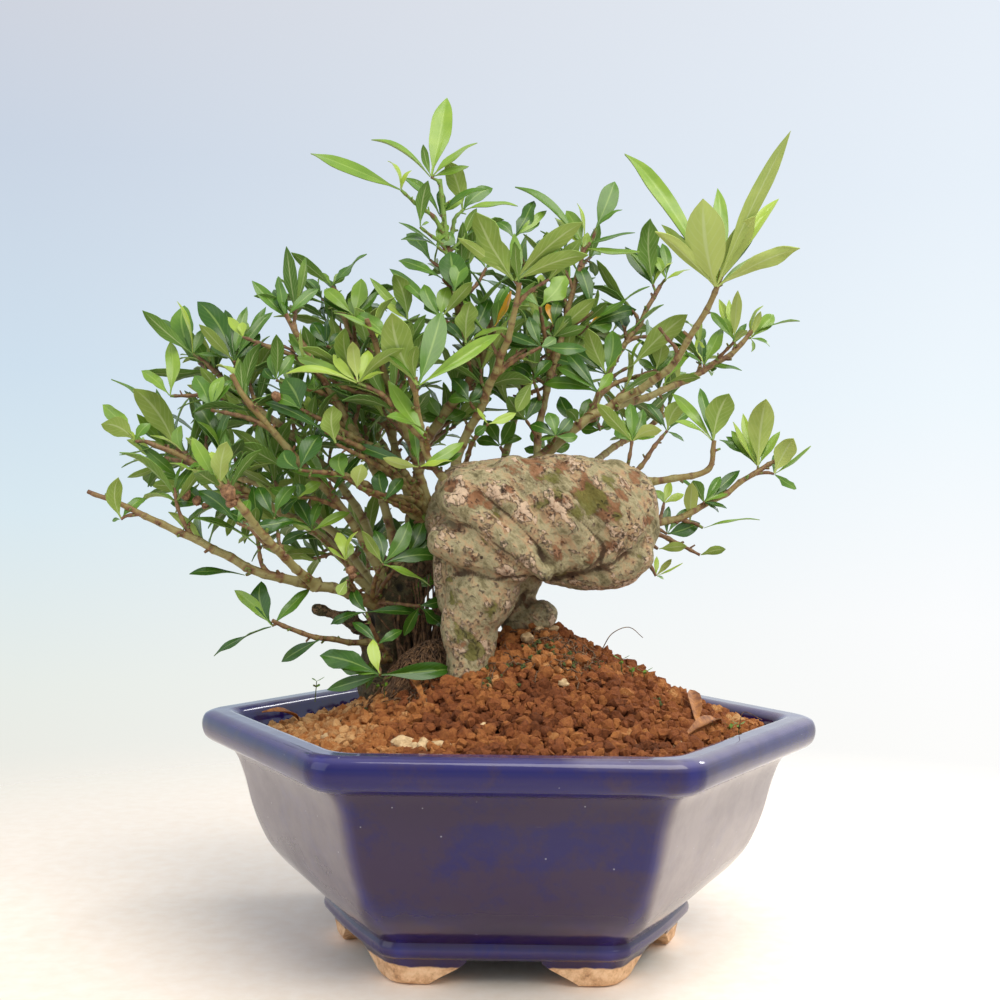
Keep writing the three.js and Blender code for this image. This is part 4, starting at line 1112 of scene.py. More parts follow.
@dataclass(frozen=True)
class PlainFinish:
    """A finish of one family of colour, mottled by a grain of a real size.

    Attributes:
        name: What it is.
        dark: Its darker colour.
        light: Its lighter colour.
        grain_mm: The size of its mottling.
        roughness: How matt it is.
        bump_mm: How high its grain stands.
        metallic: 1 on bare metal.
    """

    name: str
    dark: str
    light: str
    grain_mm: float
    roughness: float
    bump_mm: float
    metallic: float = 0.0

    def material(self) -> Material:
        """The finish as a material."""
        material, add, shade = new_material(self.name)
        spot = add("TexCoord").outputs["Object"]
        grain = add("TexNoise", {
            "Vector": spot, "Scale": cells(self.grain_mm), "Detail": 6.0, "Roughness": 0.65})
        ramp = add("ValToRGB", {"Fac": grain}, stops=((0.35, self.dark), (0.65, self.light)))
        bump = add("Bump", {"Height": grain, "Strength": 0.6, "Distance": self.bump_mm * MM})
        shade({"Base Color": ramp, "Roughness": self.roughness, "Metallic": self.metallic, "Normal": bump})
        return material


# Moulded polyethylene mesh: even, low sheen, with a faint orange peel.
SCREEN_PLASTIC = PlainFinish("moulded_mesh_plastic", "#15181a", "#23282a", 1.2, 0.5, 0.05)
# Drawn aluminium wire, dulled by handling: streaky grey with soft highlights.
STAPLE_WIRE = PlainFinish("drawn_aluminium_wire", "#77797b", "#a5a7a8", 0.8, 0.35, 0.03, 1.0)
# Dead roots and rotted litter: almost black brown, fibrous.
ROOT_LITTER = PlainFinish("dead_roots", "#2a1a11", "#8a6746", 1.6, 0.9, 0.2)
# Cushion moss: deep green with lighter tips, fully matt.
MOSS = PlainFinish("cushion_moss", "#2c3414", "#5c6630", 0.6, 0.95, 0.3)
# A leaf that fell and dried: brittle orange brown.
DRY_LEAF = PlainFinish("dried_leaf", "#6b3a18", "#b4773a", 3.0, 0.7, 0.3)
# Bud scales and callus: papery tan brown.
BUD_SCALE = PlainFinish("papery_bud_scales", "#55341f", "#a57c56", 1.2, 0.75, 0.35)


@dataclass
class Pot:
    """The hexagonal pot: bowl, bracket feet and drain holes."""

    corner_share: float = 0.065
    corner_steps: int = 7
    side_steps: int = 12
    profile_step: float = 1.2
    underside: tuple[float, float] = (55.5, 8.0)
    drain_radius: float = 9.0
    drain_x: float = 22.0
    foot_top: float = 55.5
    foot_bottom: float = 53.0
    foot_wall: float = 9.0
    foot_sunk: float = 1.0
    arch_bottom: float = 19.0
    arch_top: float = 9.0
    side_pull: float = -0.02
    front_spread: float = 0.13

    def hexagon(self, radius: float, z: float) -> Object:
        """A filled hexagon with rounded corners, its corners on the X axis, and finely divided sides."""
        deselect_all()
        sharp = radius / (1 - self.corner_share / 4) * MM
        bpy.ops.mesh.primitive_circle_add(
            vertices=6, radius=sharp, fill_type="NGON", location=(0, 0, z * MM),
            rotation=(0, 0, math.radians(30)))
        piece = bpy.context.object
        bpy.ops.object.transform_apply(location=True, rotation=True, scale=True)
        with editing(piece):
            bpy.ops.mesh.select_all(action="SELECT")
            bpy.ops.mesh.bevel(
                offset=sharp * self.corner_share, segments=self.corner_steps, affect="VERTICES")
            bpy.ops.mesh.select_mode(type="EDGE")
            bpy.ops.mesh.select_all(action="DESELECT")
            shape = bmesh.from_edit_mesh(piece.data)
            for edge in shape.edges:
                edge.select_set(edge.calc_length() > sharp * 0.5)
            bmesh.update_edit_mesh(piece.data)
            bpy.ops.mesh.subdivide(number_cuts=self.side_steps - 1)
        return piece

    def raised(self, profile: Sequence[tuple[float, float]]) -> Object:
        """A closed hexagonal solid, drawn up along a profile.

        Args:
            profile: The corner radius and height of each of its rings, in millimetres.

        Returns:
            The solid.
        """
        radius, z = profile[0]
        piece = self.hexagon(radius, z)
        with editing(piece):
            bpy.ops.mesh.select_mode(type="EDGE")
            bpy.ops.mesh.select_all(action="SELECT")
            for next_radius, next_z in profile[1:]:
                bpy.ops.mesh.extrude_edges_move(TRANSFORM_OT_translate={"value": (0, 0, (next_z - z) * MM)})
                share = next_radius / radius
                bpy.ops.transform.resize(value=(share, share, 1), center_override=(0, 0, next_z * MM))
                radius, z = next_radius, next_z
            bpy.ops.mesh.edge_face_add()
            turn_outwards()
        return piece

    def profile(self) -> list[tuple[float, float]]:
        """The bowl's profile with smooth curves between its corners."""
        runs = (POT_OUTSIDE[:4], POT_OUTSIDE[3:], POT_OUTSIDE[-1:] + POT_LIP[:5], POT_LIP[4:6],
                POT_LIP[5:] + POT_INSIDE)
        made: list[tuple[float, float]] = []
        for run in runs:
            rows = smooth_route([(radius, z, 0.0) for radius, z in run], self.profile_step)
            made.extend((float(r), float(z)) for r, z, _ in rows[(1 if made else 0):])
        return made

    def bowl(self) -> Object:
        """The bowl, with its drain holes."""
        bowl = self.raised(self.profile())
        for side in (-1, 1):
            deselect_all()
            bpy.ops.mesh.primitive_cylinder_add(
                vertices=32, radius=self.drain_radius * MM, depth=0.03,
                location=(side * self.drain_x * MM, 0, 0.012))
            cut_away(bowl, bpy.context.object)
        return bowl

    def feet(self) -> Object:
        """The ring of six bracket feet, cut by an ogee arch through each side."""
        bottom, top = self.foot_bottom, self.underside[1]
        skirt = self.raised([
            (bottom - 2.2, 0), (bottom - 0.8, 0.5), (bottom, 1.6), (bottom + 0.5, 4.0), (bottom + 1.0, 6.0),
            (self.foot_top, top), (self.foot_top, top + self.foot_sunk)])
        cut_away(skirt, self.raised([
            (bottom - self.foot_wall, -1), (self.foot_top - self.foot_wall - 3, top)]))
        for k in range(3):
            cut_away(skirt, self.arch_cutter(math.pi * k / 3))
        return skirt

    def arch_cutter(self, turn: float) -> Object:
        """A long prism with an ogee arch for its section, through two opposite sides."""
        low, high, steps, reach = -1.0, self.underside[1], 10, 70.0
        deselect_all()
        bpy.ops.mesh.primitive_grid_add(x_subdivisions=1, y_subdivisions=steps, size=1)
        cutter = bpy.context.object
        places = vertex_places(cutter) * MM
        for i, (x, y, _) in enumerate(places):
            share = y + 0.5
            bend = float(smoothstep(0, 1, share))
            half = self.arch_bottom + (self.arch_top - self.arch_bottom) * bend
            z = (low + (high - low) * share) * MM
            cutter.data.vertices[i].co = (math.copysign(half * MM, x), -reach * MM, z)
        with editing(cutter):
            bpy.ops.mesh.select_all(action="SELECT")
            bpy.ops.mesh.extrude_region_move(TRANSFORM_OT_translate={"value": (0, 2 * reach * MM, 0)})
            turn_outwards()
        cutter.data.transform(Matrix.Rotation(turn, 4, "Z"))
        return cutter

    def draw_in(self, piece: Object) -> None:
        """Draws the side corners in, and the others apart, towards the base, as hand moulding left them."""
        sine_60 = 0.866
        places = vertex_places(piece)
        low = smoothstep(32, 13, places[:, 2])
        reach = np.abs(places[:, 1]) / np.maximum(np.hypot(places[:, 0], places[:, 1]), 1) / sine_60
        spread = (self.front_spread - self.side_pull) * np.clip(reach, 0, 1)
        places[:, 0] *= 1 + low * (self.side_pull + spread)
        move_vertices(piece, places)

    def cleanness(self, piece: Object) -> list[float]:
        """How far the dried film is lifted: on the rim, and in a band across the front that is a painted
        reflection.
        """
        shares = []
        for x, y, z in vertex_places(piece):
            # The front band is a painted reflection: deep, clear blue where the film is lifted.
            front = float(smoothstep(-45, -55, y) * smoothstep(-26, -12, x) * smoothstep(42, 38, x))
            band = float(smoothstep(36.5, 39, z) * smoothstep(52, 49.5, z))
            rim = float(smoothstep(58, 59.5, z)) if math.hypot(x, y) > 70 else 0.0
            ragged = 0.04 * noise.noise(Vector((x, y, z * 2)) / 7.0)
            shares.append(0.17 * min(1.0, front * band + rim) + ragged)
        return shares

    def haziness(self, piece: Object) -> list[float]:
        """How strong the painted reflection of the bright surroundings is on the side faces and lip: most on
        the right, less on the left, little behind.
        """
        shares = []
        for (x, y, z), normal in zip(vertex_places(piece), vertex_normals(piece)):
            sideways = float(smoothstep(0.35, 0.75, abs(normal[0])))
            amount = (0.55 if x > 0 else 0.37) * (1.0 if y < 0 else 0.45)
            wall = float(smoothstep(12, 22, z) * smoothstep(60, 57, z))
            on_lip = float(smoothstep(66.5, 68.5, z)) * (0.4 if x > 20 else 0.12)
            shares.append(max(amount * sideways * wall, on_lip if math.hypot(x, y) > 70 else 0.0))
        return shares

    def thinness(self, piece: Object) -> list[float]:
        """How thin the glaze runs at each vertex: over the upright edges, the rim band and the base mould."""
        shares = []
        for x, y, z in vertex_places(piece):
            radius = math.hypot(x, y)
            turn = math.atan2(y, x) % (math.pi / 3)
            off = radius * math.sin(min(turn, math.pi / 3 - turn))
            upright = 0.22 * math.exp(-(off / 1.6) ** 2)
            rim = 0.1 * math.exp(-((z - 61) / 1.3) ** 2) + 0.25 * math.exp(-((z - 68.2) / 0.9) ** 2)
            mould = 0.25 * math.exp(-((z - 10.6) / 1.4) ** 2)
            shares.append(min(1.0, upright + rim + mould))
        return shares

    def build(self, assembly: Assembly) -> None:
        """Makes the pot and puts it in the frame."""
        piece = join([self.bowl(), self.feet()], "glazed_pot")
        add_modifier(piece, "WELD", merge_threshold=0.00001)
        self.draw_in(piece)
        smooth(piece, 32)
        give_attribute(piece, "thin", self.thinness(piece))
        give_attribute(piece, "clean", self.cleanness(piece))
        give_attribute(piece, "haze", self.haziness(piece))
        dress(piece, CobaltGlaze().material())
        assembly.add(piece, "glaze", "pot")


def soil_height(x: float, y: float) -> float:
    """The height of the soil mound, which the frame's soil bed follows too."""
    edge_z, rise, reach, steepness = 66.3, 32.0, 78.0, 1.5
    crest_x, crest_y = 8, 4
    left_drop, right_drop = 5.0, 3.5
    share = math.hypot(x - crest_x, y - crest_y) / reach
    return (edge_z + rise * max(0.0, 1 - share) ** steepness - left_drop * float(smoothstep(20, 70, -x))
            - right_drop * float(smoothstep(40, 72, x)))


def above_soil(x: float, y: float, lift: float) -> Matrix:
    """The move to a place that far above the soil."""
    return Matrix.Translation((x * MM, y * MM, (soil_height(x, y) + lift) * MM))


def hexagon_reach(x: float, y: float) -> float:
    """The corner radius of the hexagon, with its corners on the X axis, that a point lies on."""
    turn = math.atan2(y, x) % (math.pi / 3) - math.pi / 6
    return math.hypot(x, y) * math.cos(turn) / math.cos(math.pi / 6)


# The middle of the mound of old roots between the stump and the trunk.
OLD_ROOTS = (-28.0, -2.0)


@dataclass
class Soil:
    """The mound of fired clay granules, with what lies and grows on it."""

    inner_radius: float = 83.6
    pitch: float = 2.35
    seed: int = 11
    rng: random.Random = field(init=False)

    def __post_init__(self) -> None:
        """Starts the fixed sequence of draws."""
        self.rng = random.Random(self.seed)

    def bed(self) -> Object:
        """The packed soil under the loose granules: a crumbly mound down to the pot's floor."""
        deselect_all()
        bpy.ops.mesh.primitive_grid_add(x_subdivisions=110, y_subdivisions=96, size=1)
        bed = bpy.context.object
        bed.data.transform(Matrix.Diagonal((2 * self.inner_radius * MM, 1.8 * self.inner_radius * MM, 1, 1)))
        with editing(bed):
            pick_faces(bed, lambda c: hexagon_reach(c.x / MM, c.y / MM) > self.inner_radius)
            bpy.ops.mesh.delete(type="FACE")
        places = vertex_places(bed)
        for place in places:
            x, y = float(place[0]), float(place[1])
            fine = noise.noise(Vector((x, y, 3.0)) / 2.1) * 0.9
            coarse = noise.noise(Vector((x, y, 9.0)) / 5.0) * 0.8
            place[2] = soil_height(x, y) - 1.6 + (fine + coarse)
        move_vertices(bed, places)
        with editing(bed):
            bpy.ops.mesh.select_all(action="SELECT")
            bpy.ops.mesh.extrude_region_move(TRANSFORM_OT_translate={"value": (0, 0, 0)})
            shape = bmesh.from_edit_mesh(bed.data)
            for vertex in shape.verts:
                if vertex.select:
                    vertex.co = (vertex.co.x * 0.55, vertex.co.y * 0.55, 0.0156)
            bmesh.update_edit_mesh(bed.data)
            turn_outwards()
        smooth(bed, 60)
        return bed

    def crumb_shapes(self, count: int, detail: int, jitter: float, keep: float = 1.0) -> list[Mesh]:
        """A few angular crumbs of unit radius, with only a share of their faces kept."""
        shapes = []
        for k in range(count):
            deselect_all()
            bpy.ops.mesh.primitive_ico_sphere_add(subdivisions=detail, radius=1)
            crumb = bpy.context.object
            draw = random.Random(100 + k)
            with editing(crumb):
                bpy.ops.mesh.select_all(action="SELECT")
                stretch = (draw.uniform(0.8, 1.2), draw.uniform(0.75, 1.05), draw.uniform(0.65, 0.95))
                bpy.ops.transform.resize(value=stretch)
            for vertex in crumb.data.vertices:
                lump = noise.noise(vertex.co * 1.3 + Vector((k * 7.0, 0, 0)))
                vertex.co *= 1 + jitter * lump + draw.uniform(-0.07, 0.07)
            if keep < 1:
                add_modifier(crumb, "DECIMATE", ratio=keep)
            shapes.append(crumb.data)
            bpy.data.objects.remove(crumb)
        return shapes

    def dryness(self, x: float, y: float) -> float:
        """How dry the soil is: damp at the front and middle, dry at the left, the far side and the crest."""
        left = float(smoothstep(0, -62, x)) * 0.5
        right = float(smoothstep(34, 60, x)) * 0.14
        crest = float(smoothstep(30, 10, math.hypot(x - 6, y + 6))) * 0.26
        back = float(smoothstep(10, 50, y)) * 0.22
        cloud = noise.noise(Vector((x, y, 0.0)) / 13.0) * 0.34
        return 0.34 + left + right + crest + back + cloud

    def granules(self) -> list[Object]:
        """The loose granules, in three pieces: front, middle and back."""
        shapes = self.crumb_shapes(12, 2, 0.6, 0.62)
        thirds: dict[str, list[Placing]] = {"front": [], "middle": [], "back": []}
        rows = int(self.inner_radius * 2 / (self.pitch * 0.87)) + 2
        for layer in range(2):
            for i in range(rows):
                for j in range(rows):
                    x = -self.inner_radius + (i + 0.5 * (j % 2)) * self.pitch + self.rng.uniform(-0.9, 0.9)
                    y = -self.inner_radius + j * self.pitch * 0.87 + self.rng.uniform(-0.9, 0.9)
                    size = self.rng.triangular(0.85, 2.6, 1.35)
                    keep = self.rng.random()
                    if hexagon_reach(x, y) > self.inner_radius - size * 0.8 or (layer and keep > 0.42):
                        continue
                    lift = self.rng.uniform(-0.5, 0.5) + (1.0 if layer else -0.5)
                    third = "front" if y < -28 else "middle" if y < 22 else "back"
                    thirds[third].append(self.granule(x, y, size, lift, shapes))
        return [placed_copies(f"soil_granules_{third}", placings) for third, placings in thirds.items()]

    def granule(self, x: float, y: float, size: float, lift: float, shapes: Sequence[Mesh]) -> Placing:
        """One granule's shape, place and shade.

        Args:
            x: Where it lies, to the right, in millimetres.
            y: Where it lies, to the rear.
            size: Its radius.
            lift: How far above the soil its middle lies.
            shapes: The crumbs that it is one of.

        Returns:
            Its placing.
        """
        turn = Matrix.Rotation(self.rng.uniform(0, 6.28), 4, random_vector(self.rng).normalized())
        tone = self.dryness(x, y) + self.rng.gauss(0, 0.1)
        place = above_soil(x, y, lift) @ turn @ Matrix.Scale(size * MM, 4)
        return self.rng.choice(shapes), place, {"tone": min(max(tone, 0.02), 0.98)}

    def pebbles(self) -> Object:
        """The few cream pebbles along the front edge and by the trunk."""
        shapes = self.crumb_shapes(3, 3, 0.5)
        crest = ((540, 628, 2.2), (552, 618, 2.0), (528, 640, 2.4), (545, 606, 1.6), (560, 640, 1.5))
        spots = ((-27, -58, 3.4), (-22, -59.5, 2.6), (-17.5, -60, 2.4), (-24, -61, 2.2), (62, -39, 2.6),
                 (65, -36, 1.9), (47, -52, 1.6), (16, -27, 1.7), (-6, -48, 1.3), (-52, -28, 2.0))
        spots += tuple((*self.on_soil((x, y)).xy, size) for x, y, size in crest)
        placings = []
        for k, (x, y, size) in enumerate(spots):
            turn = Matrix.Rotation(k * 1.7, 4, "Z") @ Matrix.Diagonal((1.25, 0.95, 0.75, 1))
            place = above_soil(x, y, size * 0.45)
            placings.append((shapes[k % 3], place @ turn @ Matrix.Scale(size * MM, 4), {}))
        return placed_copies("cream_pebbles", placings)

    @staticmethod
    def mound_height(x: float, y: float) -> float:
        """The height of the mound of old roots between the stump and the trunk."""
        off = ((x - OLD_ROOTS[0]) ** 2 + (y - OLD_ROOTS[1]) ** 2) / 130
        return soil_height(x, y) + 9.5 * math.exp(-off * off)

    def root_mound(self) -> Object:
        """The lumpy mound under the old roots."""
        deselect_all()
        bpy.ops.mesh.primitive_uv_sphere_add(segments=56, ring_count=36, radius=1)
        mound = bpy.context.object
        mound.name = "root_mound"
        places = vertex_places(mound) * MM
        for place in places:
            x, y = OLD_ROOTS[0] + 15 * float(place[0]), OLD_ROOTS[1] + 15 * float(place[1])
            lump = noise.noise(Vector((x, y, float(place[2]) * 9)) / 2.2) * 1.1
            top = self.mound_height(x, y) - 1.0 + lump
            place[:] = (x, y, top if place[2] > 0 else 60.0 + 6 * float(place[2]))
        move_vertices(mound, places)
        smooth(mound)
        return mound

    def on_soil(self, pixel: tuple[float, float]) -> Vector:
        """Where the line of sight through a pixel of the photograph meets the soil."""
        for depth in range(-82, 70):
            spot = SIGHT.place(pixel, depth)
            within = hexagon_reach(spot.x, spot.y) < self.inner_radius
            if within and spot.z < soil_height(spot.x, spot.y) + 0.8:
                return spot
        return SIGHT.place(pixel, 0)

    def dry_leaves(self) -> Object:
        """The four dead leaves that lie on the soil."""
        blade = LeafPress().press(LeafForm.FOLDED)
        placings = []
        for base_px, tip_px, width in (((404, 678), (424, 708), 2.6), ((690, 694), (697, 728), 4.2),
                                       ((683, 742), (722, 727), 4.0), ((262, 716), (300, 724), 3.6)):
            base, tip = self.on_soil(base_px), self.on_soil(tip_px)
            lift = Vector((0, 0, 1.6))
            growth = Growth(base + lift * 0.8, tip + lift, Vector((0.1, -0.4, 1.0)), width, 0.0, False)
            placings.append((blade, growth.matrix(LeafPress().half_width), {}))
        return placed_copies("dry_leaves", placings)

    def seedlings(self) -> tuple[Object, Object]:
        """Tiny weeds that sprout from the soil: their stalks and their leaves."""
        blade = LeafPress().press(LeafForm.CUPPED)
        stalks, placings = [], []
        for pixel, height in (((622, 676), 5.0), ((632, 682), 4.0), ((384, 704), 7.5), ((315, 702), 6.5),
                              ((378, 700), 5.0), ((738, 738), 4.0), ((728, 736), 3.0), ((645, 680), 2.5)):
            foot = self.on_soil(pixel)
            top = foot + Vector((self.rng.uniform(-0.8, 0.8), self.rng.uniform(-0.8, 0.8), height))
            stalks.append(smooth_route(((*foot, 0.2), (*foot.lerp(top, 0.6), 0.16), (*top, 0.14)), 1.0))
            for k in range(4):
                turn = k * math.pi / 2 + self.rng.uniform(-0.4, 0.4)
                out = Vector((math.cos(turn), math.sin(turn), 0.5))
                low = top - Vector((0, 0, height * 0.3 * (k % 2)))
                tip = low + out * self.rng.uniform(1.6, 2.8)
                growth = Growth(low, tip, Vector((0, 0, 1)), 1.1, 0.4, False)
                placings.append((blade, growth.matrix(LeafPress().half_width), {"tone": 0.4}))
        return tubes("seedling_stalks", stalks, 6), placed_copies("seedling_leaves", placings)

    def roots(self) -> Object:
        """Hair roots and rotted litter round the trunk's feet, and one long root hair that stands up."""
        spots = ((12, -8, 15), (17, -14, 14), (2, -16, 7), (-4, -20, 8), (-34, -8, 14), (-28, -16, 10),
                 (20, -20, 8), (26, -10, 6), (-46, -2, 8))
        routes = []
        for x0, y0, count in spots:
            for _ in range(count):
                x, y = x0 + self.rng.gauss(0, 3.2), y0 + self.rng.gauss(0, 2.6)
                way = self.rng.uniform(0, 2 * math.pi)
                thick = self.rng.uniform(0.1, 0.26)
                rows = []
                for _ in range(self.rng.randint(5, 11)):
                    z = soil_height(x, y) + self.rng.uniform(0.9, 2.6)
                    rows.append((x, y, z, thick))
                    way += self.rng.uniform(-0.8, 0.8)
                    x += 1.3 * math.cos(way)
                    y += 1.3 * math.sin(way)
                routes.append(np.array(rows))
        for _ in range(150):
            x, y = -28 + self.rng.gauss(0, 6), -4 + self.rng.gauss(0, 6)
            way = self.rng.uniform(0, 2 * math.pi)
            rows = []
            for _ in range(self.rng.randint(5, 10)):
                z = self.mound_height(x, y) + self.rng.uniform(0.2, 1.6)
                rows.append((x, y, z, self.rng.uniform(0.1, 0.3)))
                way += self.rng.uniform(-0.7, 0.7)
                x += 1.4 * math.cos(way)
                y += 1.4 * math.sin(way)
            routes.append(np.array(rows))
        for _ in range(70):
            x, y = self.rng.uniform(-35, -19), self.rng.uniform(3, 15)
            top, lean = self.rng.uniform(94, 116), self.rng.gauss(0, 5)
            thick = self.rng.uniform(0.3, 0.9)
            foot = soil_height(x, y) - 1
            routes.append(smooth_route((
                (x, y, foot, thick),
                (x + lean * 0.3 + self.rng.gauss(0, 1), y, (foot + top) / 2, thick * 0.9),
                (x + lean, y + self.rng.gauss(0, 3), top, thick * 0.4)), 3.0))
        routes.append(smooth_route(((28, -14, 90, 0.16), (31, -15, 95, 0.14), (36, -16, 97, 0.12),
                                    (40, -17, 94, 0.1)), 1.2))
        routes.append(smooth_route(((66, -34, 70, 0.14), (67, -36, 75, 0.12), (72, -37, 73, 0.1)), 1.2))
        return tubes("hair_roots", routes, 4)

    def moss(self) -> Object:
        """Low cushions of moss and algae on the soil by the trunk."""
        shapes = self.crumb_shapes(3, 2, 0.9)
        placings = []
        spots = ((13, -12, 4.5, 26), (20, -17, 3, 12), (0, -19, 3, 14), (-30, -6, 4, 18), (24, -13, 3, 10),
                 (-3, -26, 2.5, 6), (44, -25, 2, 4))
        for x0, y0, spread, count in spots:
            for _ in range(count):
                x, y = x0 + self.rng.gauss(0, spread), y0 + self.rng.gauss(0, spread * 0.7)
                size = self.rng.uniform(0.3, 0.85)
                place = above_soil(x, y, self.rng.uniform(0.8, 2))
                placings.append((self.rng.choice(shapes), place @ Matrix.Scale(size * MM, 4), {}))
        return placed_copies("moss_cushions", placings)

    def build(self, assembly: Assembly) -> None:
        """Makes the soil and everything on it."""
        clay = FiredGranule().material()
        # The bed shows only in the gaps between the granules: this much darker copy of their clay is painted
        # shade in those gaps.
        packed = FiredGranule(name="packed_fired_clay", wet="#2e160a", damp="#4a2712", dry="#6b4020",
                              pale="#7d5430").material()
        bed = dress(self.bed(), packed)
        give_attribute(bed, "tone", [self.dryness(x, y) for x, y, _ in vertex_places(bed)])
        assembly.add(bed, "fired_clay_soil", "soil_bed")
        for piece in self.granules():
            smooth(piece, 38)
            assembly.add(dress(piece, clay), "fired_clay_soil")
        pebbles = self.pebbles()
        smooth(pebbles, 60)
        assembly.add(dress(pebbles, PaleGravel().material()), "fired_clay_soil")
        litter = ROOT_LITTER.material()
        assembly.add(dress(self.roots(), litter), "trunk_bark")
        assembly.add(dress(self.root_mound(), litter), "trunk_bark")
        moss = MOSS.material()
        assembly.add(dress(self.moss(), moss), "leaf")
        dry = DRY_LEAF.material()
        assembly.add(dress(self.dry_leaves(), dry, dry), "leaf")
        stalks, leaves = self.seedlings()
        assembly.add(dress(stalks, moss), "leaf")
        assembly.add(dress(leaves, LEAF_UPPER.material(), LEAF_UNDER.material()), "leaf")


@dataclass(frozen=True)
class Patch:
    """A coloured patch on the trunk: where it shows, its radius in millimetres and how strong it is."""

    spot_px: tuple[int, int]
    radius: float
    strength: float


def patch_list(*rows: tuple[int, int, float, float]) -> tuple[Patch, ...]:
    """Patches that are written as (x, y, radius, strength)."""
    return tuple(Patch((x, y), radius, strength) for x, y, radius, strength in rows)


@dataclass(frozen=True)
class Fold:
    """A roll of wood on the front of the trunk.

    Attributes:
        depth: How far behind the pot's axis its middle lies, in millimetres.
        spots: Places down its middle: x and y in the photograph's frame, and its radius in millimetres.
    """

    depth: float
    spots: tuple[tuple[float, float, float], ...]

    def strand(self) -> tuple[Knot, ...]:
        """The roll as a strand of [x, y, z, radius]."""
        return tuple((*SIGHT.place((x, y), self.depth), radius) for x, y, radius in self.spots)


def front_share(normals: np.ndarray) -> np.ndarray:
    """How far each vertex faces the front, from its normal."""
    return np.clip(-normals[:, 1] * 2.5 + 0.4, 0, 1)


@dataclass
class OldWood:
    """A piece of old wood: strands grown into one another, with creases, wrinkles and patches."""

    name: str
    strands: Sequence[Sequence[Knot]]
    node: str
    bark: OldBark
    voxel_mm: float = 0.5
    smooth_rounds: int = 6
    lump_mm: float = 0.7
    front_depth: float = -20.0
    grooves_px: Sequence[tuple[float, Sequence[tuple[int, int]]]] = ()
    rust: Sequence[Patch] = ()
    moss: Sequence[Patch] = ()
    pits: Sequence[Patch] = ()
    stain: Sequence[Patch] = ()
    knots: Sequence[tuple[tuple[int, int], float]] = ()

    def ring_knots(self, piece: Object) -> np.ndarray:
        """Raises a ringed scar round each knot, and returns how deep each vertex lies in one."""
        places = vertex_places(piece)
        normals = vertex_normals(piece)
        front = front_share(normals)
        rise = np.zeros(len(places))
        for pixel, radius in self.knots:
            spot = SIGHT.place(pixel, self.front_depth)
            off = np.hypot(places[:, 0] - spot.x, (places[:, 2] - spot.z) * 0.85) / radius
            ring = np.exp(-((off - 1) / 0.28) ** 2) + 0.5 * np.exp(-((off - 1.6) / 0.2) ** 2)
            rise += 0.2 * radius * ring - 0.26 * radius * np.exp(-(off / 0.6) ** 2)
        move_vertices(piece, places + normals * (rise * front)[:, None])
        return np.clip(-rise, 0, 1) * front

    def body(self) -> Object:
        """The strands fused into one closed skin."""
        routes = [round_ended(smooth_route(strand, 1.5)) for strand in self.strands]
        piece = tubes(self.name, routes, 20)
        with editing(piece):
            turn_outwards()
        add_modifier(piece, "REMESH", mode="VOXEL", voxel_size=self.voxel_mm * MM)
        add_modifier(piece, "SMOOTH", factor=0.5, iterations=self.smooth_rounds)
        return piece

    def grain(self, places: np.ndarray) -> np.ndarray:
        """For each place: its strand, how far along it, and how far across it, in millimetres."""
        samples = []
        for k, strand in enumerate(self.strands):
            rows = smooth_route(strand, 1.0)[:, :3]
            for order, (row, way) in enumerate(zip(rows, np.gradient(rows, axis=0))):
                samples.append((k, order, row, Vector(way).cross(Vector((0, 1, 0.2))).normalized()))
        tree = search_tree([row for _, _, row, _ in samples])
        found = []
        for place in places:
            _, nearest, _ = tree.find(Vector(place))
            k, order, centre, side = samples[nearest]
            found.append((k, order, Vector(place - centre).dot(side)))
        return np.array(found)

    def wrinkle(self, piece: Object) -> np.ndarray:
        """Raises lumps and wrinkles that run along the strands, and returns how deep each wrinkle is."""
        places = vertex_places(piece)
        normals = vertex_normals(piece)
        rise = np.zeros(len(places))
        crease = np.zeros(len(places))
        for i, (place, (k, along, across)) in enumerate(zip(places, self.grain(places))):
            spot = Vector(place)
            lump = noise.noise(spot / 9.0) + 0.45 * noise.noise(spot / 4.0)
            wide = abs(noise.noise(Vector((across / 3.1, along / 15.0, k * 3.7))))
            fine = abs(noise.noise(Vector((across / 1.3, along / 8.0, k * 3.7 + 40))))
            flake = noise.noise(spot / 1.6) * 0.17 + noise.noise(spot / 0.85) * 0.1
            part = float(smoothstep(-0.1, 0.35, noise.noise(spot / 11.0 + Vector((0, 9, 0)))))
            wide_cut = math.exp(-(wide / 0.045) ** 2) * part
            fine_cut = math.exp(-(fine / 0.06) ** 2) * part
            rise[i] = self.lump_mm * lump - 0.3 * wide_cut - 0.16 * fine_cut + flake
            crease[i] = 0.5 * wide_cut + 0.2 * fine_cut
        move_vertices(piece, places + normals * rise[:, None])
        return crease

    def carve(self, piece: Object) -> np.ndarray:
        """Pushes the named grooves into the front, and returns how deep they are."""
        places = vertex_places(piece)
        normals = vertex_normals(piece)
        front = front_share(normals)
        depth = np.zeros(len(places))
        line_depth = np.zeros(len(places))
        for deep, line_px in self.grooves_px:
            knots = [(*SIGHT.place(pixel, self.front_depth), 0.0) for pixel in line_px]
            rows = smooth_route(knots, 0.8)
            near = np.full(len(places), 99.0)
            share = np.zeros(len(places))
            for order, row in enumerate(rows):
                off = np.hypot(places[:, 0] - row[0], places[:, 2] - row[2])
                closer = off < near
                near[closer] = off[closer]
                share[closer] = order / len(rows)
            fade = smoothstep(0, 0.18, share) * smoothstep(1, 0.82, share)
            cut = 0.5 * np.exp(-(near / 0.55) ** 2) + 0.5 * np.exp(-(near / 1.9) ** 2)
            depth = np.maximum(depth, deep * fade * cut)
            line_depth = np.maximum(line_depth, min(1.0, deep / 1.2) * fade * np.exp(-(near / 0.6) ** 2))
        move_vertices(piece, places - normals * (depth * front)[:, None])
        return line_depth * front

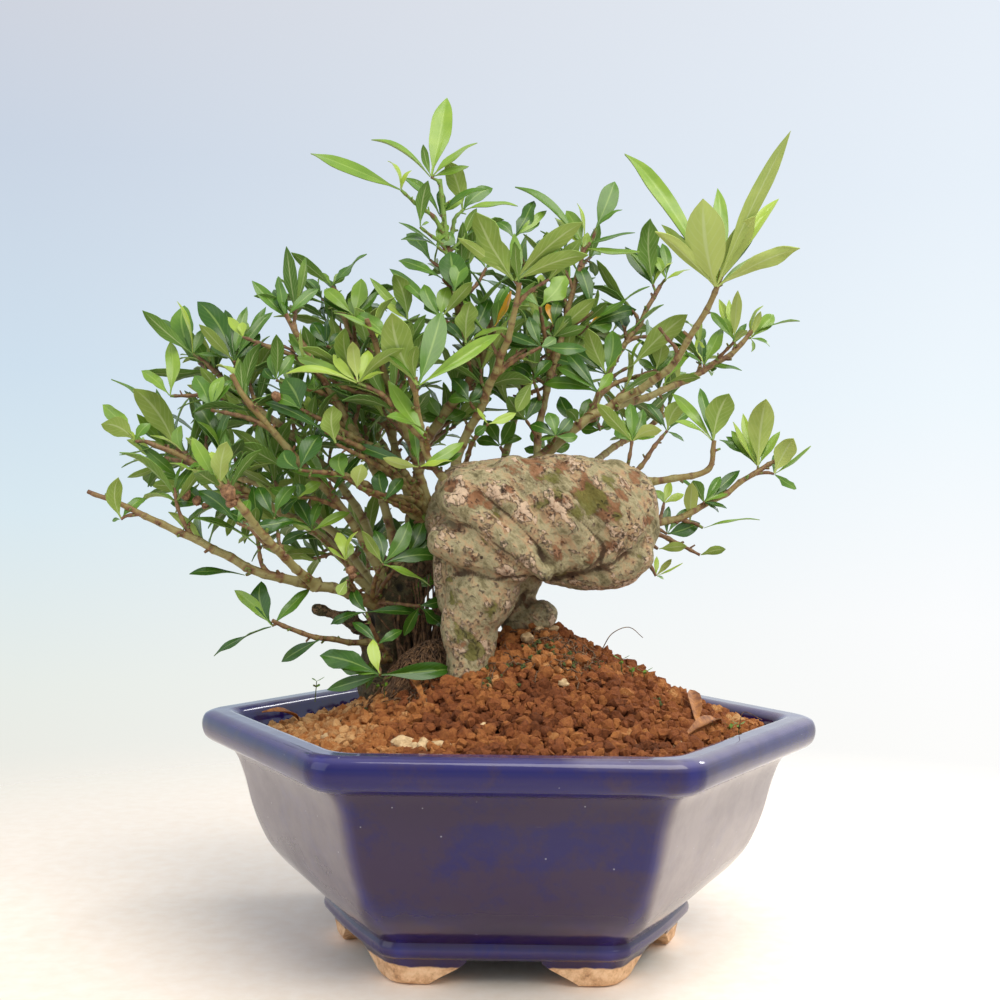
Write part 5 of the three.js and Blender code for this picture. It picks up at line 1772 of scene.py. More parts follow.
    def patches(self, piece: Object, wanted: Sequence[Patch]) -> np.ndarray:
        """How strong the listed patches are at each vertex that faces the front."""
        places = vertex_places(piece)
        front = smoothstep(0.55, -0.1, vertex_normals(piece)[:, 1])
        strength = np.zeros(len(places))
        for patch in wanted:
            spot = SIGHT.place(patch.spot_px, self.front_depth)
            off = np.hypot(places[:, 0] - spot.x, places[:, 2] - spot.z)
            strength = np.maximum(strength, patch.strength * np.exp(-(off / patch.radius) ** 2))
        return strength * front

    def rises(self, piece: Object) -> np.ndarray:
        """How far each vertex stands out of the surface around it, from -1 in a valley to 1 on a ridge."""
        places = vertex_places(piece)
        normals = vertex_normals(piece)
        edges = np.empty(len(piece.data.edges) * 2, np.int32)
        piece.data.edges.foreach_get("vertices", edges)
        first, second = edges.reshape(-1, 2).T
        count = np.bincount(first, minlength=len(places)) + np.bincount(second, minlength=len(places))
        even = places.copy()
        for _ in range(14):
            total = np.zeros_like(even)
            np.add.at(total, first, even[second])
            np.add.at(total, second, even[first])
            even = total / np.maximum(count, 1)[:, None]
        return np.clip(np.einsum("ij,ij->i", places - even, normals) / 0.5, -1, 1)

    def build(self, assembly: Assembly) -> None:
        """Makes the wood and puts it in the frame."""
        piece = self.body()
        groove = np.maximum(self.carve(piece), self.ring_knots(piece))
        crease = self.wrinkle(piece)
        wild = np.array([
            noise.noise(Vector(place) / 7.0 + Vector((5, 0, 0))) for place in vertex_places(piece)])
        back = smoothstep(0.0, 0.5, vertex_normals(piece)[:, 1])
        top = smoothstep(0.5, 0.95, vertex_normals(piece)[:, 2])
        rust = np.maximum(self.patches(piece, self.rust), smoothstep(0.2, 0.6, wild) * (0.32 + 0.14 * back))
        moss = np.maximum(self.patches(piece, self.moss), smoothstep(0.1, 0.5, -wild) * (back + top) * 0.4)
        stain = self.patches(piece, self.stain)
        # Painted shade: the bottoms of the carved grooves, the knot hollows, the wrinkle creases and the
        # painted shade patches are darkened here.
        give_attribute(piece, "groove", np.clip(groove + crease * 0.5 + stain, 0, 1))
        give_attribute(piece, "rise", self.rises(piece))
        give_attribute(piece, "rust", rust)
        give_attribute(piece, "moss", moss)
        give_attribute(piece, "pit", self.patches(piece, self.pits))
        smooth(piece)
        assembly.add(dress(piece, self.bark.material()), "trunk_bark", self.node)


# The rolls that sweep over the trunk's front, from the tongue at the left to the rounded right end.
TRUNK_FOLDS = (
    Fold(-19.5, ((446, 541, 5.4), (466, 550, 6.2), (492, 561, 5.4), (518, 572, 3.6))),
    Fold(-22, ((456, 502, 5.6), (482, 521, 5.4), (509, 543, 4.8), (532, 561, 3.8), (545, 572, 2.8))),
    Fold(-18, ((468, 486, 6.0), (496, 494, 7.5), (521, 518, 8.0), (543, 541, 7.2), (557, 561, 4.6))),
    Fold(-15.5, ((514, 481, 7.5), (547, 496, 10.2), (570, 524, 10.2), (581, 554, 7.0))),
    Fold(-13, ((577, 480, 7.2), (602, 498, 9.6), (616, 524, 9.8), (606, 552, 7.0))),
    Fold(-9, ((612, 479, 6.5), (629, 495, 7.6), (635, 521, 8.0), (631, 548, 6.8))),
    Fold(-11, ((556, 573, 3.4), (588, 574, 5.0), (616, 569, 5.8), (636, 556, 5.6))),
)
# The trunk's grooves: depth in millimetres, then the line that each follows in the photograph's frame.
TRUNK_GROOVES = (
    (0.9, ((438, 577), (467, 573), (500, 580), (527, 577), (543, 583))),
    (0.8, ((443, 527), (467, 527), (490, 540), (513, 557), (533, 577))),
    (1.0, ((470, 486), (488, 499), (510, 518), (532, 540), (545, 560), (550, 576))),
    (0.6, ((497, 490), (517, 513), (537, 536), (548, 556), (553, 570))),
    (0.9, ((547, 487), (567, 510), (590, 530), (603, 547), (599, 563), (577, 577))),
    (0.35, ((556, 476), (578, 500), (598, 518), (612, 540))),
    (0.6, ((600, 469), (620, 493), (630, 520), (626, 547), (606, 565), (584, 574))),
    (0.35, ((632, 478), (644, 503), (649, 530), (641, 556))),
    (0.3, ((612, 486), (624, 510), (622, 540))),
    (0.9, ((543, 583), (580, 576), (612, 565), (634, 551))),
    (0.4, ((520, 472), (544, 498), (562, 528), (572, 556))),
    (0.5, ((436, 520), (448, 514), (462, 518), (474, 526))),
    (0.35, ((452, 552), (470, 558), (486, 566))),
    (0.35, ((450, 592), (472, 598), (490, 594))),
    (0.3, ((452, 610), (468, 616), (484, 612))),
    (0.6, ((530, 590), (520, 606), (506, 624), (497, 640))),
    (0.5, ((470, 585), (462, 610), (456, 640))),
)
# Old knots: where each shows, and the radius of its ring in millimetres.
TRUNK_KNOTS = (((503, 492), 1.7), ((452, 488), 2.2), ((541, 502), 1.5))
STUMP_KNOTS = (((352, 602), 3.4), ((366, 622), 4.2), ((400, 588), 3.0), ((378, 650), 3.0))
TRUNK_RUST = patch_list(
    (478, 500, 3.6, 0.66), (488, 505, 2.4, 0.62), (534, 463, 6.0, 0.62), (560, 466, 5.0, 0.56),
    (562, 551, 5.4, 0.56), (452, 484, 3.6, 0.62), (508, 492, 2.6, 0.58), (608, 510, 7.0, 0.62),
    (585, 490, 6.4, 0.6), (624, 492, 5.0, 0.56), (612, 545, 4.0, 0.5), (470, 560, 3.0, 0.44),
    (464, 645, 2.0, 0.7), (646, 520, 4.0, 0.46), (596, 562, 5.0, 0.46), (540, 482, 3.6, 0.48),
    (500, 520, 3.2, 0.42), (470, 600, 4.4, 0.36), (566, 500, 4.0, 0.45), (636, 478, 4.4, 0.5),
    (520, 556, 4.0, 0.42), (482, 534, 3.6, 0.4))
# Painted shade: darker patches along the crease under the belly and over the lower front: (x, y, radius,
# strength).
TRUNK_STAIN = patch_list(
    (556, 577, 3.0, 0.32), (580, 572, 4.0, 0.34), (604, 566, 4.4, 0.34), (628, 556, 4.4, 0.3),
    (545, 612, 7.0, 0.4), (530, 600, 6.0, 0.4), (512, 630, 5.0, 0.4), (600, 548, 3.4, 0.3),
    (640, 548, 3.4, 0.3), (436, 560, 3.0, 0.3), (543, 582, 2.4, 0.5))
TRUNK_MOSS = patch_list(
    (590, 500, 6.4, 0.66), (576, 514, 4.8, 0.62), (541, 503, 4.0, 0.62), (552, 480, 5.0, 0.6),
    (474, 650, 4.4, 0.75), (608, 480, 4.4, 0.6), (557, 492, 3.6, 0.56), (454, 600, 5.0, 0.46),
    (562, 576, 3.6, 0.42), (460, 636, 5.0, 0.52), (484, 540, 4.0, 0.42), (640, 560, 4.0, 0.44),
    (620, 520, 4.0, 0.44), (497, 512, 4.0, 0.38), (470, 530, 4.4, 0.36), (490, 610, 5.0, 0.42),
    (470, 620, 6.0, 0.4), (446, 580, 4.0, 0.4))
# Painted shade in the knot hollows and small holes: (x, y, radius, strength).
TRUNK_PITS = patch_list(
    (503, 492, 0.9, 0.7), (482, 557, 0.5, 0.8), (485, 545, 0.4, 0.7), (541, 502, 0.7, 0.6))


class LeafForm(Enum):
    """How a leaf is bent: fold, arch, sweep, twist, wave and roll of the tip, as shares of its length."""

    EVEN = (0.20, 0.05, 0.01, 0.1, 0.014, 0.02)
    ARCHED = (0.22, 0.10, 0.03, 0.1, 0.022, 0.04)
    RECURVED = (0.26, 0.15, -0.03, -0.1, 0.022, 0.08)
    CUPPED = (0.34, -0.05, 0.02, 0.0, 0.012, -0.02)
    SWEPT_LEFT = (0.22, 0.08, 0.07, 0.3, 0.018, 0.02)
    SWEPT_RIGHT = (0.22, 0.08, -0.07, -0.3, 0.018, 0.02)
    TWISTED_LEFT = (0.18, 0.06, 0.03, 0.9, 0.018, 0.04)
    TWISTED_RIGHT = (0.18, 0.06, -0.03, -0.9, 0.018, 0.04)
    WAVY = (0.16, 0.05, 0.04, 0.3, 0.055, 0.04)
    FOLDED = (0.60, 0.10, 0.01, 0.2, 0.006, 0.05)


@dataclass(frozen=True)
class LeafPress:
    """Presses the leaf blades: one unit long from base to tip along +Y, upper face towards +Z.

    Attributes:
        rows: Divisions along the leaf.
        columns: Divisions across it, an even number.
        half_width: Half its width at the widest place.
        thickness: The blade's thickness as a share of its length.
        base_taper: How slowly it widens from its base.
        tip_taper: How slowly it narrows to its tip.
        tip_crowding: How far its rows crowd towards the tip.
        crisp_deg: The sharpest bend that is still shaded smooth.
    """

    rows: int = 6
    columns: int = 4
    half_width: float = 0.16
    thickness: float = 0.016
    base_taper: float = 1.3
    tip_taper: float = 1.02
    tip_crowding: float = 1.35
    crisp_deg: float = 55.0

    def outline(self, t: float) -> float:
        """Half the blade's width at a share of its length, from a thin stalk to a drawn-out tip."""
        share = min(max((t - 0.05) / 0.95, 0.0), 1.0)
        blade = share ** self.base_taper * (1 - share) ** self.tip_taper
        widest = self.base_taper / (self.base_taper + self.tip_taper)
        peak = widest ** self.base_taper * (1 - widest) ** self.tip_taper
        return self.half_width * max(blade / peak, 0.07 * (1 - t), 0.004)

    def press(self, form: LeafForm) -> Mesh:
        """One blade, bent to a form, with an upper and a lower skin."""
        fold, arch, sweep, twist, wave, roll = form.value
        deselect_all()
        bpy.ops.mesh.primitive_grid_add(
            x_subdivisions=self.columns, y_subdivisions=self.rows, size=1, calc_uvs=True)
        blade = bpy.context.object
        for vertex in blade.data.vertices:
            side, t = vertex.co.x * 2, vertex.co.y + 0.5
            t = 1 - (1 - t) ** self.tip_crowding
            half = self.outline(t)
            hump = 4 * t * (1 - t)
            turn = twist * (t - 0.45)
            ripple = wave * math.sin(9 * t + side) * abs(side) * hump
            lift = fold * abs(side) * half * (1 - 0.35 * abs(side)) + ripple
            flat = side * half * (1 + 4 * wave * math.sin(13 * t + 2 * side))
            x = flat * math.cos(turn) - lift * math.sin(turn) + sweep * hump
            z = flat * math.sin(turn) + lift * math.cos(turn) + arch * hump - roll * max(0.0, t - 0.8) * 3
            vertex.co = (x, t, z)
        for _ in ("upper", "under"):
            blade.data.materials.append(None)
        add_modifier(blade, "SOLIDIFY", thickness=self.thickness, offset=-1, use_even_offset=False,
                     material_offset=1, material_offset_rim=1)
        smooth(blade, self.crisp_deg)
        mesh = blade.data
        bpy.data.objects.remove(blade)
        return mesh


@dataclass
class Growth:
    """Where one leaf goes, in millimetres."""

    base: Vector
    tip: Vector
    normal: Vector
    width: float
    tone: float
    fine: bool

    def matrix(self, half_width: float) -> Matrix:
        """The place, turn and size that a pressed blade gets."""
        along = self.tip - self.base
        length = max(along.length, 0.5)
        along.normalize()
        normal = self.normal - along * self.normal.dot(along)
        if normal.length < 1e-3:
            normal = along.orthogonal()
        normal.normalize()
        across = along.cross(normal)
        widen = self.width / (2 * half_width * length)
        relief = 0.4 + 0.6 * min(widen, 1.0)
        columns = (across * length * widen * MM, along * length * MM, normal * length * relief * MM)
        turn = Matrix(columns).transposed().to_4x4()
        return Matrix.Translation(self.base * MM) @ turn


@dataclass
class Branch:
    """One branch: its wood with twigs, and its leaves."""

    name: str
    knots: Sequence[Knot]
    twigs: list[np.ndarray] = field(default_factory=list)
    growths: list[Growth] = field(default_factory=list)
    node_mm: float = 5.5

    def route(self) -> np.ndarray:
        """The branch's own smooth route, in small steps."""
        return smooth_route(self.knots, 1.0)

    def fork(self, to: Vector) -> tuple[Vector, Vector, float]:
        """Where a twig that ends at a place best leaves the branch: close by, and leaning forwards.

        Args:
            to: The twig's end.

        Returns:
            The spot, the branch's direction there, and its radius there.
        """
        rows = self.route()
        ways = np.gradient(rows[:, :3], axis=0)
        ways /= np.linalg.norm(ways, axis=1)[:, None]
        off = np.array(to) - rows[:, :3]
        reach = np.linalg.norm(off, axis=1) + 1e-6
        lean = np.einsum("ij,ij->i", ways, off) / reach
        climb = off[:, 2] / reach
        back, down = np.maximum(0, 0.8 - lean), np.maximum(0, 0.6 - climb)
        i = int(np.argmin(reach * (1 + 1.6 * back) * (1 + 0.8 * down)))
        return Vector(rows[i, :3]), Vector(ways[i]), float(rows[i, 3])

    def add_twig(self, to: Vector, draw: random.Random) -> Vector:
        """Grows a twig from the branch to a place, and returns the direction in which it ends."""
        spot, way, thick = self.fork(to)
        reach = (to - spot).length
        if reach < 1.5:
            return way
        straight = (to - spot) / reach
        kink = random_vector(draw) * 0.035 * reach
        third = spot + (straight * 0.65 + way * 0.35) * reach * 0.36 + kink
        late = spot + (straight * 0.9 + way * 0.1) * reach * 0.7 - kink
        start = min(thin(thick) * 0.85, 0.5 + reach * 0.013)
        rows = smooth_route((
            (*spot, start), (*third, start * 0.9), (*late, start * 0.75), (*to, min(0.42, start * 0.7))), 0.8)
        self.twigs.append(rows)
        return (to - late).normalized()


def thin(radius: float) -> float:
    """The radius that shows, from the frame's, which keeps stems stout enough for the solid."""
    return 0.14 + 0.64 * radius


class Crown:
    """All the branches and their leaves."""

    def __init__(self, seed: int = 5) -> None:
        """Starts with bare branches and a fixed sequence of draws."""
        self.rng = random.Random(seed)
        self.branches = {name: Branch(name, knots) for name, knots in BRANCH_ROUTES.items()}
        self.common = LeafPress()
        self.fine = LeafPress(rows=12, columns=6)
        self.blades: dict[tuple[bool, LeafForm], Mesh] = {}
        self.shown: list[tuple[float, float, float]] = []
        self.listed_rows = np.empty((0, 3))

    def hides_listed(self, place: Vector, margin_px: float) -> bool:
        """Whether a place lies before a listed leaf, close to its line of sight."""
        x, y = SIGHT.pixel(place)
        rows = self.listed_rows
        near = np.hypot(rows[:, 0] - x, rows[:, 1] - y) < margin_px
        return bool(np.any(near & (rows[:, 2] + 1.5 > place.y)))

    def press_blades(self) -> None:
        """Presses each form once, coarse and fine."""
        for form in LeafForm:
            self.blades[(False, form)] = self.common.press(form)
            self.blades[(True, form)] = self.fine.press(form)

    def grow_listed(self) -> None:
        """Grows the tufts that the photograph shows."""
        for shoot in SHOOTS:
            branch = self.branches[shoot.branch]
            base = SIGHT.place(shoot.base_px, shoot.depth)
            heading = branch.add_twig(base, self.rng)
            heading = (heading + Vector((0, 0, 0.5))).normalized()
            for leaf in shoot.leaves:
                self.grow_leaf(branch, base, heading, leaf)
        self.listed_rows = np.array(self.shown)

    def grow_leaf(self, branch: Branch, base: Vector, heading: Vector, leaf: Leaf) -> None:
        """Grows one listed leaf, tilted in depth so that the side which shows faces the front."""
        leaf_lean, edge_lean = 0.42, 0.2
        edge_on = leaf.face is Face.EDGE
        reach = (SIGHT.place(leaf.tip_px, base.y) - base).length
        lean = self.rng.uniform(-edge_lean, edge_lean) if edge_on else leaf.face.value * leaf_lean
        tip = SIGHT.place(leaf.tip_px, base.y + lean * reach)
        towards = (Vector(SIGHT.stand) - base).normalized()
        along = (tip - base).normalized()
        width = leaf.width
        if edge_on:
            upright = along.cross(towards).normalized()
            upright *= -1 if upright.z < 0 else 1
            normal = upright + towards * self.rng.uniform(0.3, 0.55)
            width *= 1.6
        else:
            normal = towards * leaf.face.value + heading * 0.35 + Vector((0, 0, 0.25))
            normal = normal + along.cross(towards) * self.rng.uniform(-0.25, 0.25)
        for share in (0.4, 0.65, 0.9):
            spot = base.lerp(tip, share)
            self.shown.append((*SIGHT.pixel(spot), spot.y))
        tone = leaf.tone.value + (0.0 if leaf.tone is Tone.DYING else self.rng.uniform(-0.07, 0.05))
        branch.growths.append(Growth(base + along * 0.3, tip, normal, width, tone, reach > 9))

    def inside_crown(self, place: Vector) -> bool:
        """Whether a place shows inside the outline of the dense foliage and outside its patches of sky."""
        x, y = SIGHT.pixel(place)
        if any(math.hypot(x - sx, y - sy) < radius for sx, sy, radius in SKY_PX):
            return False
        inside = False
        for (x0, y0), (x1, y1) in zip(CROWN_OUTLINE_PX, CROWN_OUTLINE_PX[1:] + CROWN_OUTLINE_PX[:1]):
            if (y0 > y) != (y1 > y) and x < x0 + (y - y0) * (x1 - x0) / (y1 - y0):
                inside = not inside
        return inside

    def grow_by_rule(self) -> None:
        """Fills the crown, mostly behind what the photograph shows, with twigs and whorls."""
        golden = math.radians(137.5)
        for order, branch in enumerate(self.branches.values()):
            rows = branch.route()
            length = len(rows)
            turn = order * 1.3
            spot = 0.42 * length
            while spot < length - 2:
                i = int(spot)
                way = Vector(rows[min(i + 2, length - 1), :3] - rows[i - 1, :3]).normalized()
                turn += golden
                side = way.orthogonal().normalized()
                out = (Matrix.Rotation(turn, 3, way) @ side + way * 0.55 + Vector((0, 0, 0.3))).normalized()
                out.y = abs(out.y) * 0.9 if out.y < 0 and self.rng.random() < 0.6 else out.y
                reach = self.rng.uniform(7, 15)
                end = Vector(rows[i, :3]) + out * reach
                if self.inside_crown(end) and not self.hides_listed(end, 9):
                    heading = branch.add_twig(end, self.rng)
                    self.grow_whorl(branch, end, (heading + Vector((0, 0, 0.4))).normalized(), 3)
                dense = rows[i, 1] > 18 or branch.name in CENTRE_BRANCHES
                spot += self.rng.uniform(3.4, 5.6) * (1.0 if dense else 1.9)
            end = Vector(rows[-1, :3])
            way = Vector(rows[-1, :3] - rows[-4, :3]).normalized()
            if self.inside_crown(end):
                self.grow_whorl(branch, end, way, 2)

    def grow_whorl(self, branch: Branch, at: Vector, heading: Vector, tiers: int) -> None:
        """Leaves in pairs down the end of a twig, the top ones youngest and most upright."""
        turn = self.rng.uniform(0, math.pi)
        fresh = self.rng.random()
        for tier in range(tiers):
            lean = 0.45 + 0.33 * tier
            foot = at - heading * (2.2 * tier)
            for k in range(2 if tier else 3):
                angle = turn + k * (math.pi if tier else 2.1) + self.rng.uniform(-0.3, 0.3)
                side = heading.orthogonal().normalized()
                out = Matrix.Rotation(angle, 3, heading) @ side
                tilt = lean + self.rng.uniform(-0.15, 0.2)
                along = heading * math.cos(tilt) + out * math.sin(tilt)
                length = self.rng.uniform(13, 22) * (0.8 if tier == 0 else 1.0)
                tip = foot + along * length
                if not self.inside_crown(tip) and self.rng.random() < 0.85:
                    length *= 0.6
                    tip = foot + along * length
                    if not self.inside_crown(tip):
                        continue
                if self.hides_listed(foot.lerp(tip, 0.6), 8) or self.hides_listed(tip, 6):
                    continue
                tone = self.rng.choice((0.1, 0.22, 0.32, 0.46)) + (0.25 if tier == 0 and fresh > 0.5 else 0.0)
                width = length * self.rng.uniform(0.22, 0.32)
                branch.growths.append(Growth(foot, tip, heading + Vector((0, 0, 0.4)), width, tone, False))
            turn += math.pi / 2

    def wood(self, branch: Branch, bark: Material) -> Object:
        """The branch's stem and twigs, ringed and swollen at each node."""
        rows = branch.route()
        along = np.arange(len(rows)) / branch.node_mm
        swell = 1 + 0.19 * np.exp(-((np.abs((along % 1.0) - 0.5) - 0.5) * branch.node_mm / 0.7) ** 2)
        collar = 1 + 0.5 * np.exp(-np.arange(len(rows)) / 3.0)
        stem = rows.copy()
        stem[:, 3] = thin(stem[:, 3]) * swell * collar
        bends = [random_vector(self.rng, 0.4) for _ in range(int(along[-1]) + 3)]
        for i, share in enumerate(along):
            k = int(share)
            off = bends[k].lerp(bends[k + 1], share - k)
            stem[i, :3] += np.array(off)
        routes = [stem]
        for twig in branch.twigs:
            steps = np.arange(len(twig)) * 0.8 / (branch.node_mm * 0.7)
            bumped = twig.copy()
            bumped[:, 3] *= 1 + 0.38 * np.exp(-((np.abs((steps % 1.0) - 0.5) - 0.5) * 4 / 0.8) ** 2)
            routes.append(bumped)
        routes += [spur for route in routes for spur in self.spurs(route)]
        piece = tubes(f"{branch.name}_wood", routes, 8)
        self.age_wood(piece, routes, branch)
        smooth(piece)
        return dress(piece, bark)

    def spurs(self, route: np.ndarray) -> list[np.ndarray]:
        """Short dead stubs that old shoots left along a stem or twig."""
        made = []
        i = self.rng.randint(3, 9)
        while i < len(route) - 3:
            way = Vector(route[i + 1, :3] - route[i, :3]).normalized()
            side = Matrix.Rotation(self.rng.uniform(0, 2 * math.pi), 3, way) @ way.orthogonal().normalized()
            out = (side + way * self.rng.uniform(0.2, 0.9)).normalized()
            root = Vector(route[i, :3])
            radius = float(route[i, 3])
            reach = radius + self.rng.uniform(0.5, 1.9)
            stub = min(0.6, radius * 0.6) * self.rng.uniform(0.7, 1.1)
            made.append(np.array([(*root, stub), (*(root + out * reach * 0.6), stub * 0.95),
                                  (*(root + out * reach), stub * 0.75)]))
            i += self.rng.randint(4, 9)
        return made

    def age_wood(self, piece: Object, routes: Sequence[np.ndarray], branch: Branch) -> None:
        """Writes on the wood its age, from its thickness, and its distance along in nodes."""
        samples = [(row, i * (1.0 if k == 0 else 0.8))
                   for k, route in enumerate(routes) for i, row in enumerate(route)]
        tree = search_tree([row[:3] for row, _ in samples])
        ages, alongs = [], []
        for place in vertex_places(piece):
            _, i, _ = tree.find(Vector(place))
            row, along = samples[i]
            green = float(smoothstep(208, 216, row[2])) if branch.name == "top_tall" else 0.0
            age = 0.12 + 0.85 * float(smoothstep(0.35, 1.45, row[3]))
            ages.append(age * (1 - green))
            alongs.append(along / branch.node_mm)
        give_attribute(piece, "age", ages)
        give_attribute(piece, "along", alongs)

    def foliage(self, branch: Branch, skins: Sequence[Material]) -> Object:
        """The branch's leaves as one piece."""
        placings = []
        forms = list(LeafForm)
        for growth in branch.growths:
            mesh = self.blades[(growth.fine, self.rng.choice(forms))]
            placings.append((mesh, growth.matrix(self.common.half_width), {"tone": growth.tone}))
        return dress(placed_copies(f"{branch.name}_foliage", placings), *skins)

    def knobs(self) -> Object:
        """Callus knobs and old bud scales on the branches at the left."""
        placings = []
        deselect_all()
        bpy.ops.mesh.primitive_ico_sphere_add(subdivisions=3, radius=1)
        knob = bpy.context.object
        for vertex in knob.data.vertices:
            vertex.co *= 1 + 0.26 * noise.noise(vertex.co * 1.8) + 0.13 * noise.noise(vertex.co * 4.5)
        spots = (
            ((228, 492), -35, 2.3), ((186, 495), -8, 1.6), ((197, 501), -8, 1.4), ((205, 506), -8, 1.0),
            ((276, 396), -14, 1.5), ((351, 570), -13, 1.4), ((353, 576), -13, 1.0), ((231, 503), -34, 1.5))
        for pixel, depth, size in spots:
            place = Matrix.Translation(SIGHT.place(pixel, depth) * MM)
            turn = Matrix.Rotation(pixel[0] * 1.7, 4, "Y") @ Matrix.Diagonal((1.15, 0.95, 0.9, 1))
            placings.append((knob.data, place @ turn @ Matrix.Scale(size * MM, 4), {}))
        bpy.data.objects.remove(knob)
        return placed_copies("callus_knobs", placings)

    def build(self, assembly: Assembly) -> None:
        """Grows the crown and puts it in the frame."""
        self.press_blades()
        self.grow_listed()
        self.grow_by_rule()
        bark = YoungBark().material()
        skins = (LEAF_UPPER.material(), LEAF_UNDER.material())
        for branch in self.branches.values():
            assembly.add(self.wood(branch, bark), "stem_bark", f"{branch.name}_stem")
            assembly.add(self.foliage(branch, skins), "leaf", f"{branch.name}_leaves")
        knobs = self.knobs()
        smooth(knobs)
        assembly.add(dress(knobs, BUD_SCALE.material()), "stem_bark")


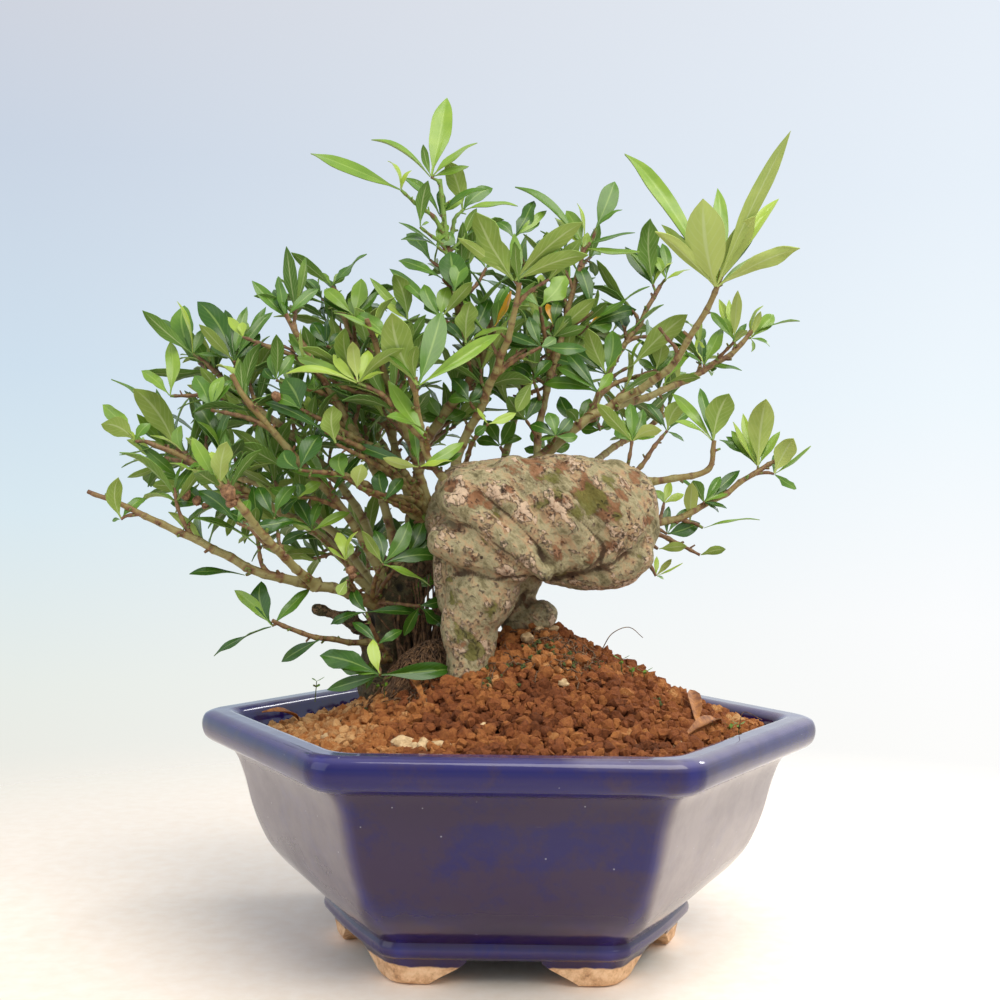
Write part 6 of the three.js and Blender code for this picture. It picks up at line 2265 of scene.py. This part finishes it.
@dataclass
class Studio:
    """The plain pale floor, the soft lights, the sky of the backdrop and the camera."""

    floor_reach: float = 6.0

    def camera(self, shift: Matrix) -> None:
        """The photograph's camera."""
        data = bpy.data.cameras.new("photo_camera")
        data.lens = SIGHT.lens_mm
        data.sensor_width = SIGHT.sensor_mm
        data.clip_start = 0.02
        data.clip_end = 50
        camera = bpy.data.objects.new("photo_camera", data)
        bpy.context.scene.collection.objects.link(camera)
        camera.matrix_world = shift @ Matrix.Translation(Vector(SIGHT.stand) * MM) @ SIGHT.heading()
        bpy.context.scene.camera = camera

    def floor(self) -> None:
        """The pale surface that the feet stand on, which thins out into the backdrop."""
        deselect_all()
        bpy.ops.mesh.primitive_grid_add(x_subdivisions=8, y_subdivisions=8, size=self.floor_reach)
        floor = bpy.context.object
        floor.name = "pale_floor"
        material, add, shade = new_material("backdrop_paper")
        spot = add("TexCoord").outputs["Object"]
        off = add("VectorMath", {0: spot}, operation="LENGTH")
        grain = add("TexNoise", {"Vector": spot, "Scale": cells(6), "Detail": 5.0, "Roughness": 0.6})
        ramp = add("ValToRGB", {"Fac": grain}, stops=((0.35, "#f7e8d6"), (0.65, "#fbefe0")))
        solid = add("MapRange", {"Value": off, "From Min": 0.42, "From Max": 0.12},
                    interpolation_type="SMOOTHSTEP")
        shade({"Base Color": ramp, "Roughness": 0.7, "Alpha": solid})
        dress(floor, material)

    def lamp(self, name: str, kind: str, place: tuple[float, float, float], aim: tuple[float, float, float],
             watts: float, **settings: object) -> None:
        """A light, turned to a point.

        Args:
            name: Its name.
            kind: "AREA" or "SPOT".
            place: Where it hangs, in metres.
            aim: The point that it is turned to.
            watts: Its power.
            **settings: The light's own settings.
        """
        data = bpy.data.lights.new(name, kind)
        data.energy = watts
        for key, value in settings.items():
            setattr(data, key, value)
        lamp = bpy.data.objects.new(name, data)
        bpy.context.scene.collection.objects.link(lamp)
        lamp.location = place
        lamp.rotation_euler = (Vector(aim) - Vector(place)).to_track_quat("-Z", "Y").to_euler()

    def sky(self) -> None:
        """The backdrop: near white low down, pale blue above, and brighter towards the right."""
        world = bpy.data.worlds.new("backdrop")
        bpy.context.scene.world = world
        world.use_nodes = True
        tree = world.node_tree
        add = partial(add_node, tree)
        parts = add("SeparateXYZ", {0: add("TexCoord").outputs["Generated"]})
        rise = add("MapRange", {"Value": parts.outputs["Z"], "From Min": -0.35, "From Max": 0.35})
        left = add("ValToRGB", {"Fac": rise}, stops=(
            (0.1, "#f4ebe0"), (0.33, "#e8ede8"), (0.5, "#d9e9f1"), (0.64, "#cfe0ee"), (0.85, "#cad5e4"),
            (1.0, "#d0d4de")))
        right = add("ValToRGB", {"Fac": rise}, stops=(
            (0.1, "#fffdf8"), (0.4, "#fcfdfe"), (0.62, "#eff8fe"), (0.82, "#e8f1fa"), (1.0, "#e7eef7")))
        across = add("MapRange", {"Value": parts, "From Min": -0.34, "From Max": 0.3})
        both = add("Mix", {"Factor": across, "A": left, "B": right}, data_type="RGBA")
        feed(tree, tree.nodes["Background"], {"Color": both, "Strength": 1.0})

    def build(self, shift: Matrix) -> None:
        """Sets up the studio: a key and a fill light, and a wash on the floor that the pot's side mirrors."""
        bpy.context.scene.view_settings.view_transform = "Standard"
        self.camera(shift)
        self.floor()
        middle = (0.0, 0.0, 0.12)
        self.lamp("key", "AREA", (0.35, -0.55, 1.0), middle, 11.5, shape="SQUARE", size=0.9,
                  color=hex_colour("#fffaf0")[:3])
        self.lamp("fill", "AREA", (-0.9, -0.5, 0.5), middle, 2.0, shape="SQUARE", size=0.8,
                  color=hex_colour("#f3f7ff")[:3])
        self.lamp("right_wash", "SPOT", (0.55, 0.42, 0.5), (0.26, 0.2, 0.0), 15.0,
                  spot_size=math.radians(58), spot_blend=1.0, shadow_soft_size=0.1)
        self.sky()


def finish_fittings(frame: dict) -> None:
    """Gives the drain screens and their wire staples, which stay as they are, their finishes."""
    for name, finish in (("drain_screen", SCREEN_PLASTIC), ("screen_wire", STAPLE_WIRE)):
        material = finish.material()
        for side in ("left", "right"):
            dress(frame["nodes"][f"{name}_{side}"], material)


def main() -> None:
    """Loads the frame and builds every piece round it."""
    logging.basicConfig(level=logging.INFO, format="%(message)s")
    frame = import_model()
    assembly = Assembly()
    assembly.find()
    Studio().build(assembly.shift)
    finish_fittings(frame)
    Pot().build(assembly)
    trunk = TRUNK_STRANDS + tuple(fold.strand() for fold in TRUNK_FOLDS)
    OldWood("old_trunk", trunk, "trunk", OldBark(), grooves_px=TRUNK_GROOVES, rust=TRUNK_RUST,
            moss=TRUNK_MOSS, pits=TRUNK_PITS, stain=TRUNK_STAIN, knots=TRUNK_KNOTS).build(assembly)
    # The stump's bark is a much darker copy of the trunk's bark: painted shade, as the stump stands deep in
    # the crown's shadow.
    stump_bark = OldBark(
        name="dark_stump_bark", dusk="#3c3824", grey="#544c30", pale="#5e5638", beige="#6a5238",
        pink="#6a4e36", warm="#4c3420", flake="#8c7254", speck="#2c1a10", crease="#140d08",
        rust=("#5c3018", "#6b3a20"), moss=("#333c14", "#48521e"))
    OldWood("old_stump", STUMP_STRANDS, "rear_stump", stump_bark, voxel_mm=0.6, lump_mm=1.5,
            front_depth=6.0, knots=STUMP_KNOTS).build(assembly)
    Crown().build(assembly)
    Soil().build(assembly)
    bpy.context.view_layer.update()


if __name__ == "__main__":
    main()
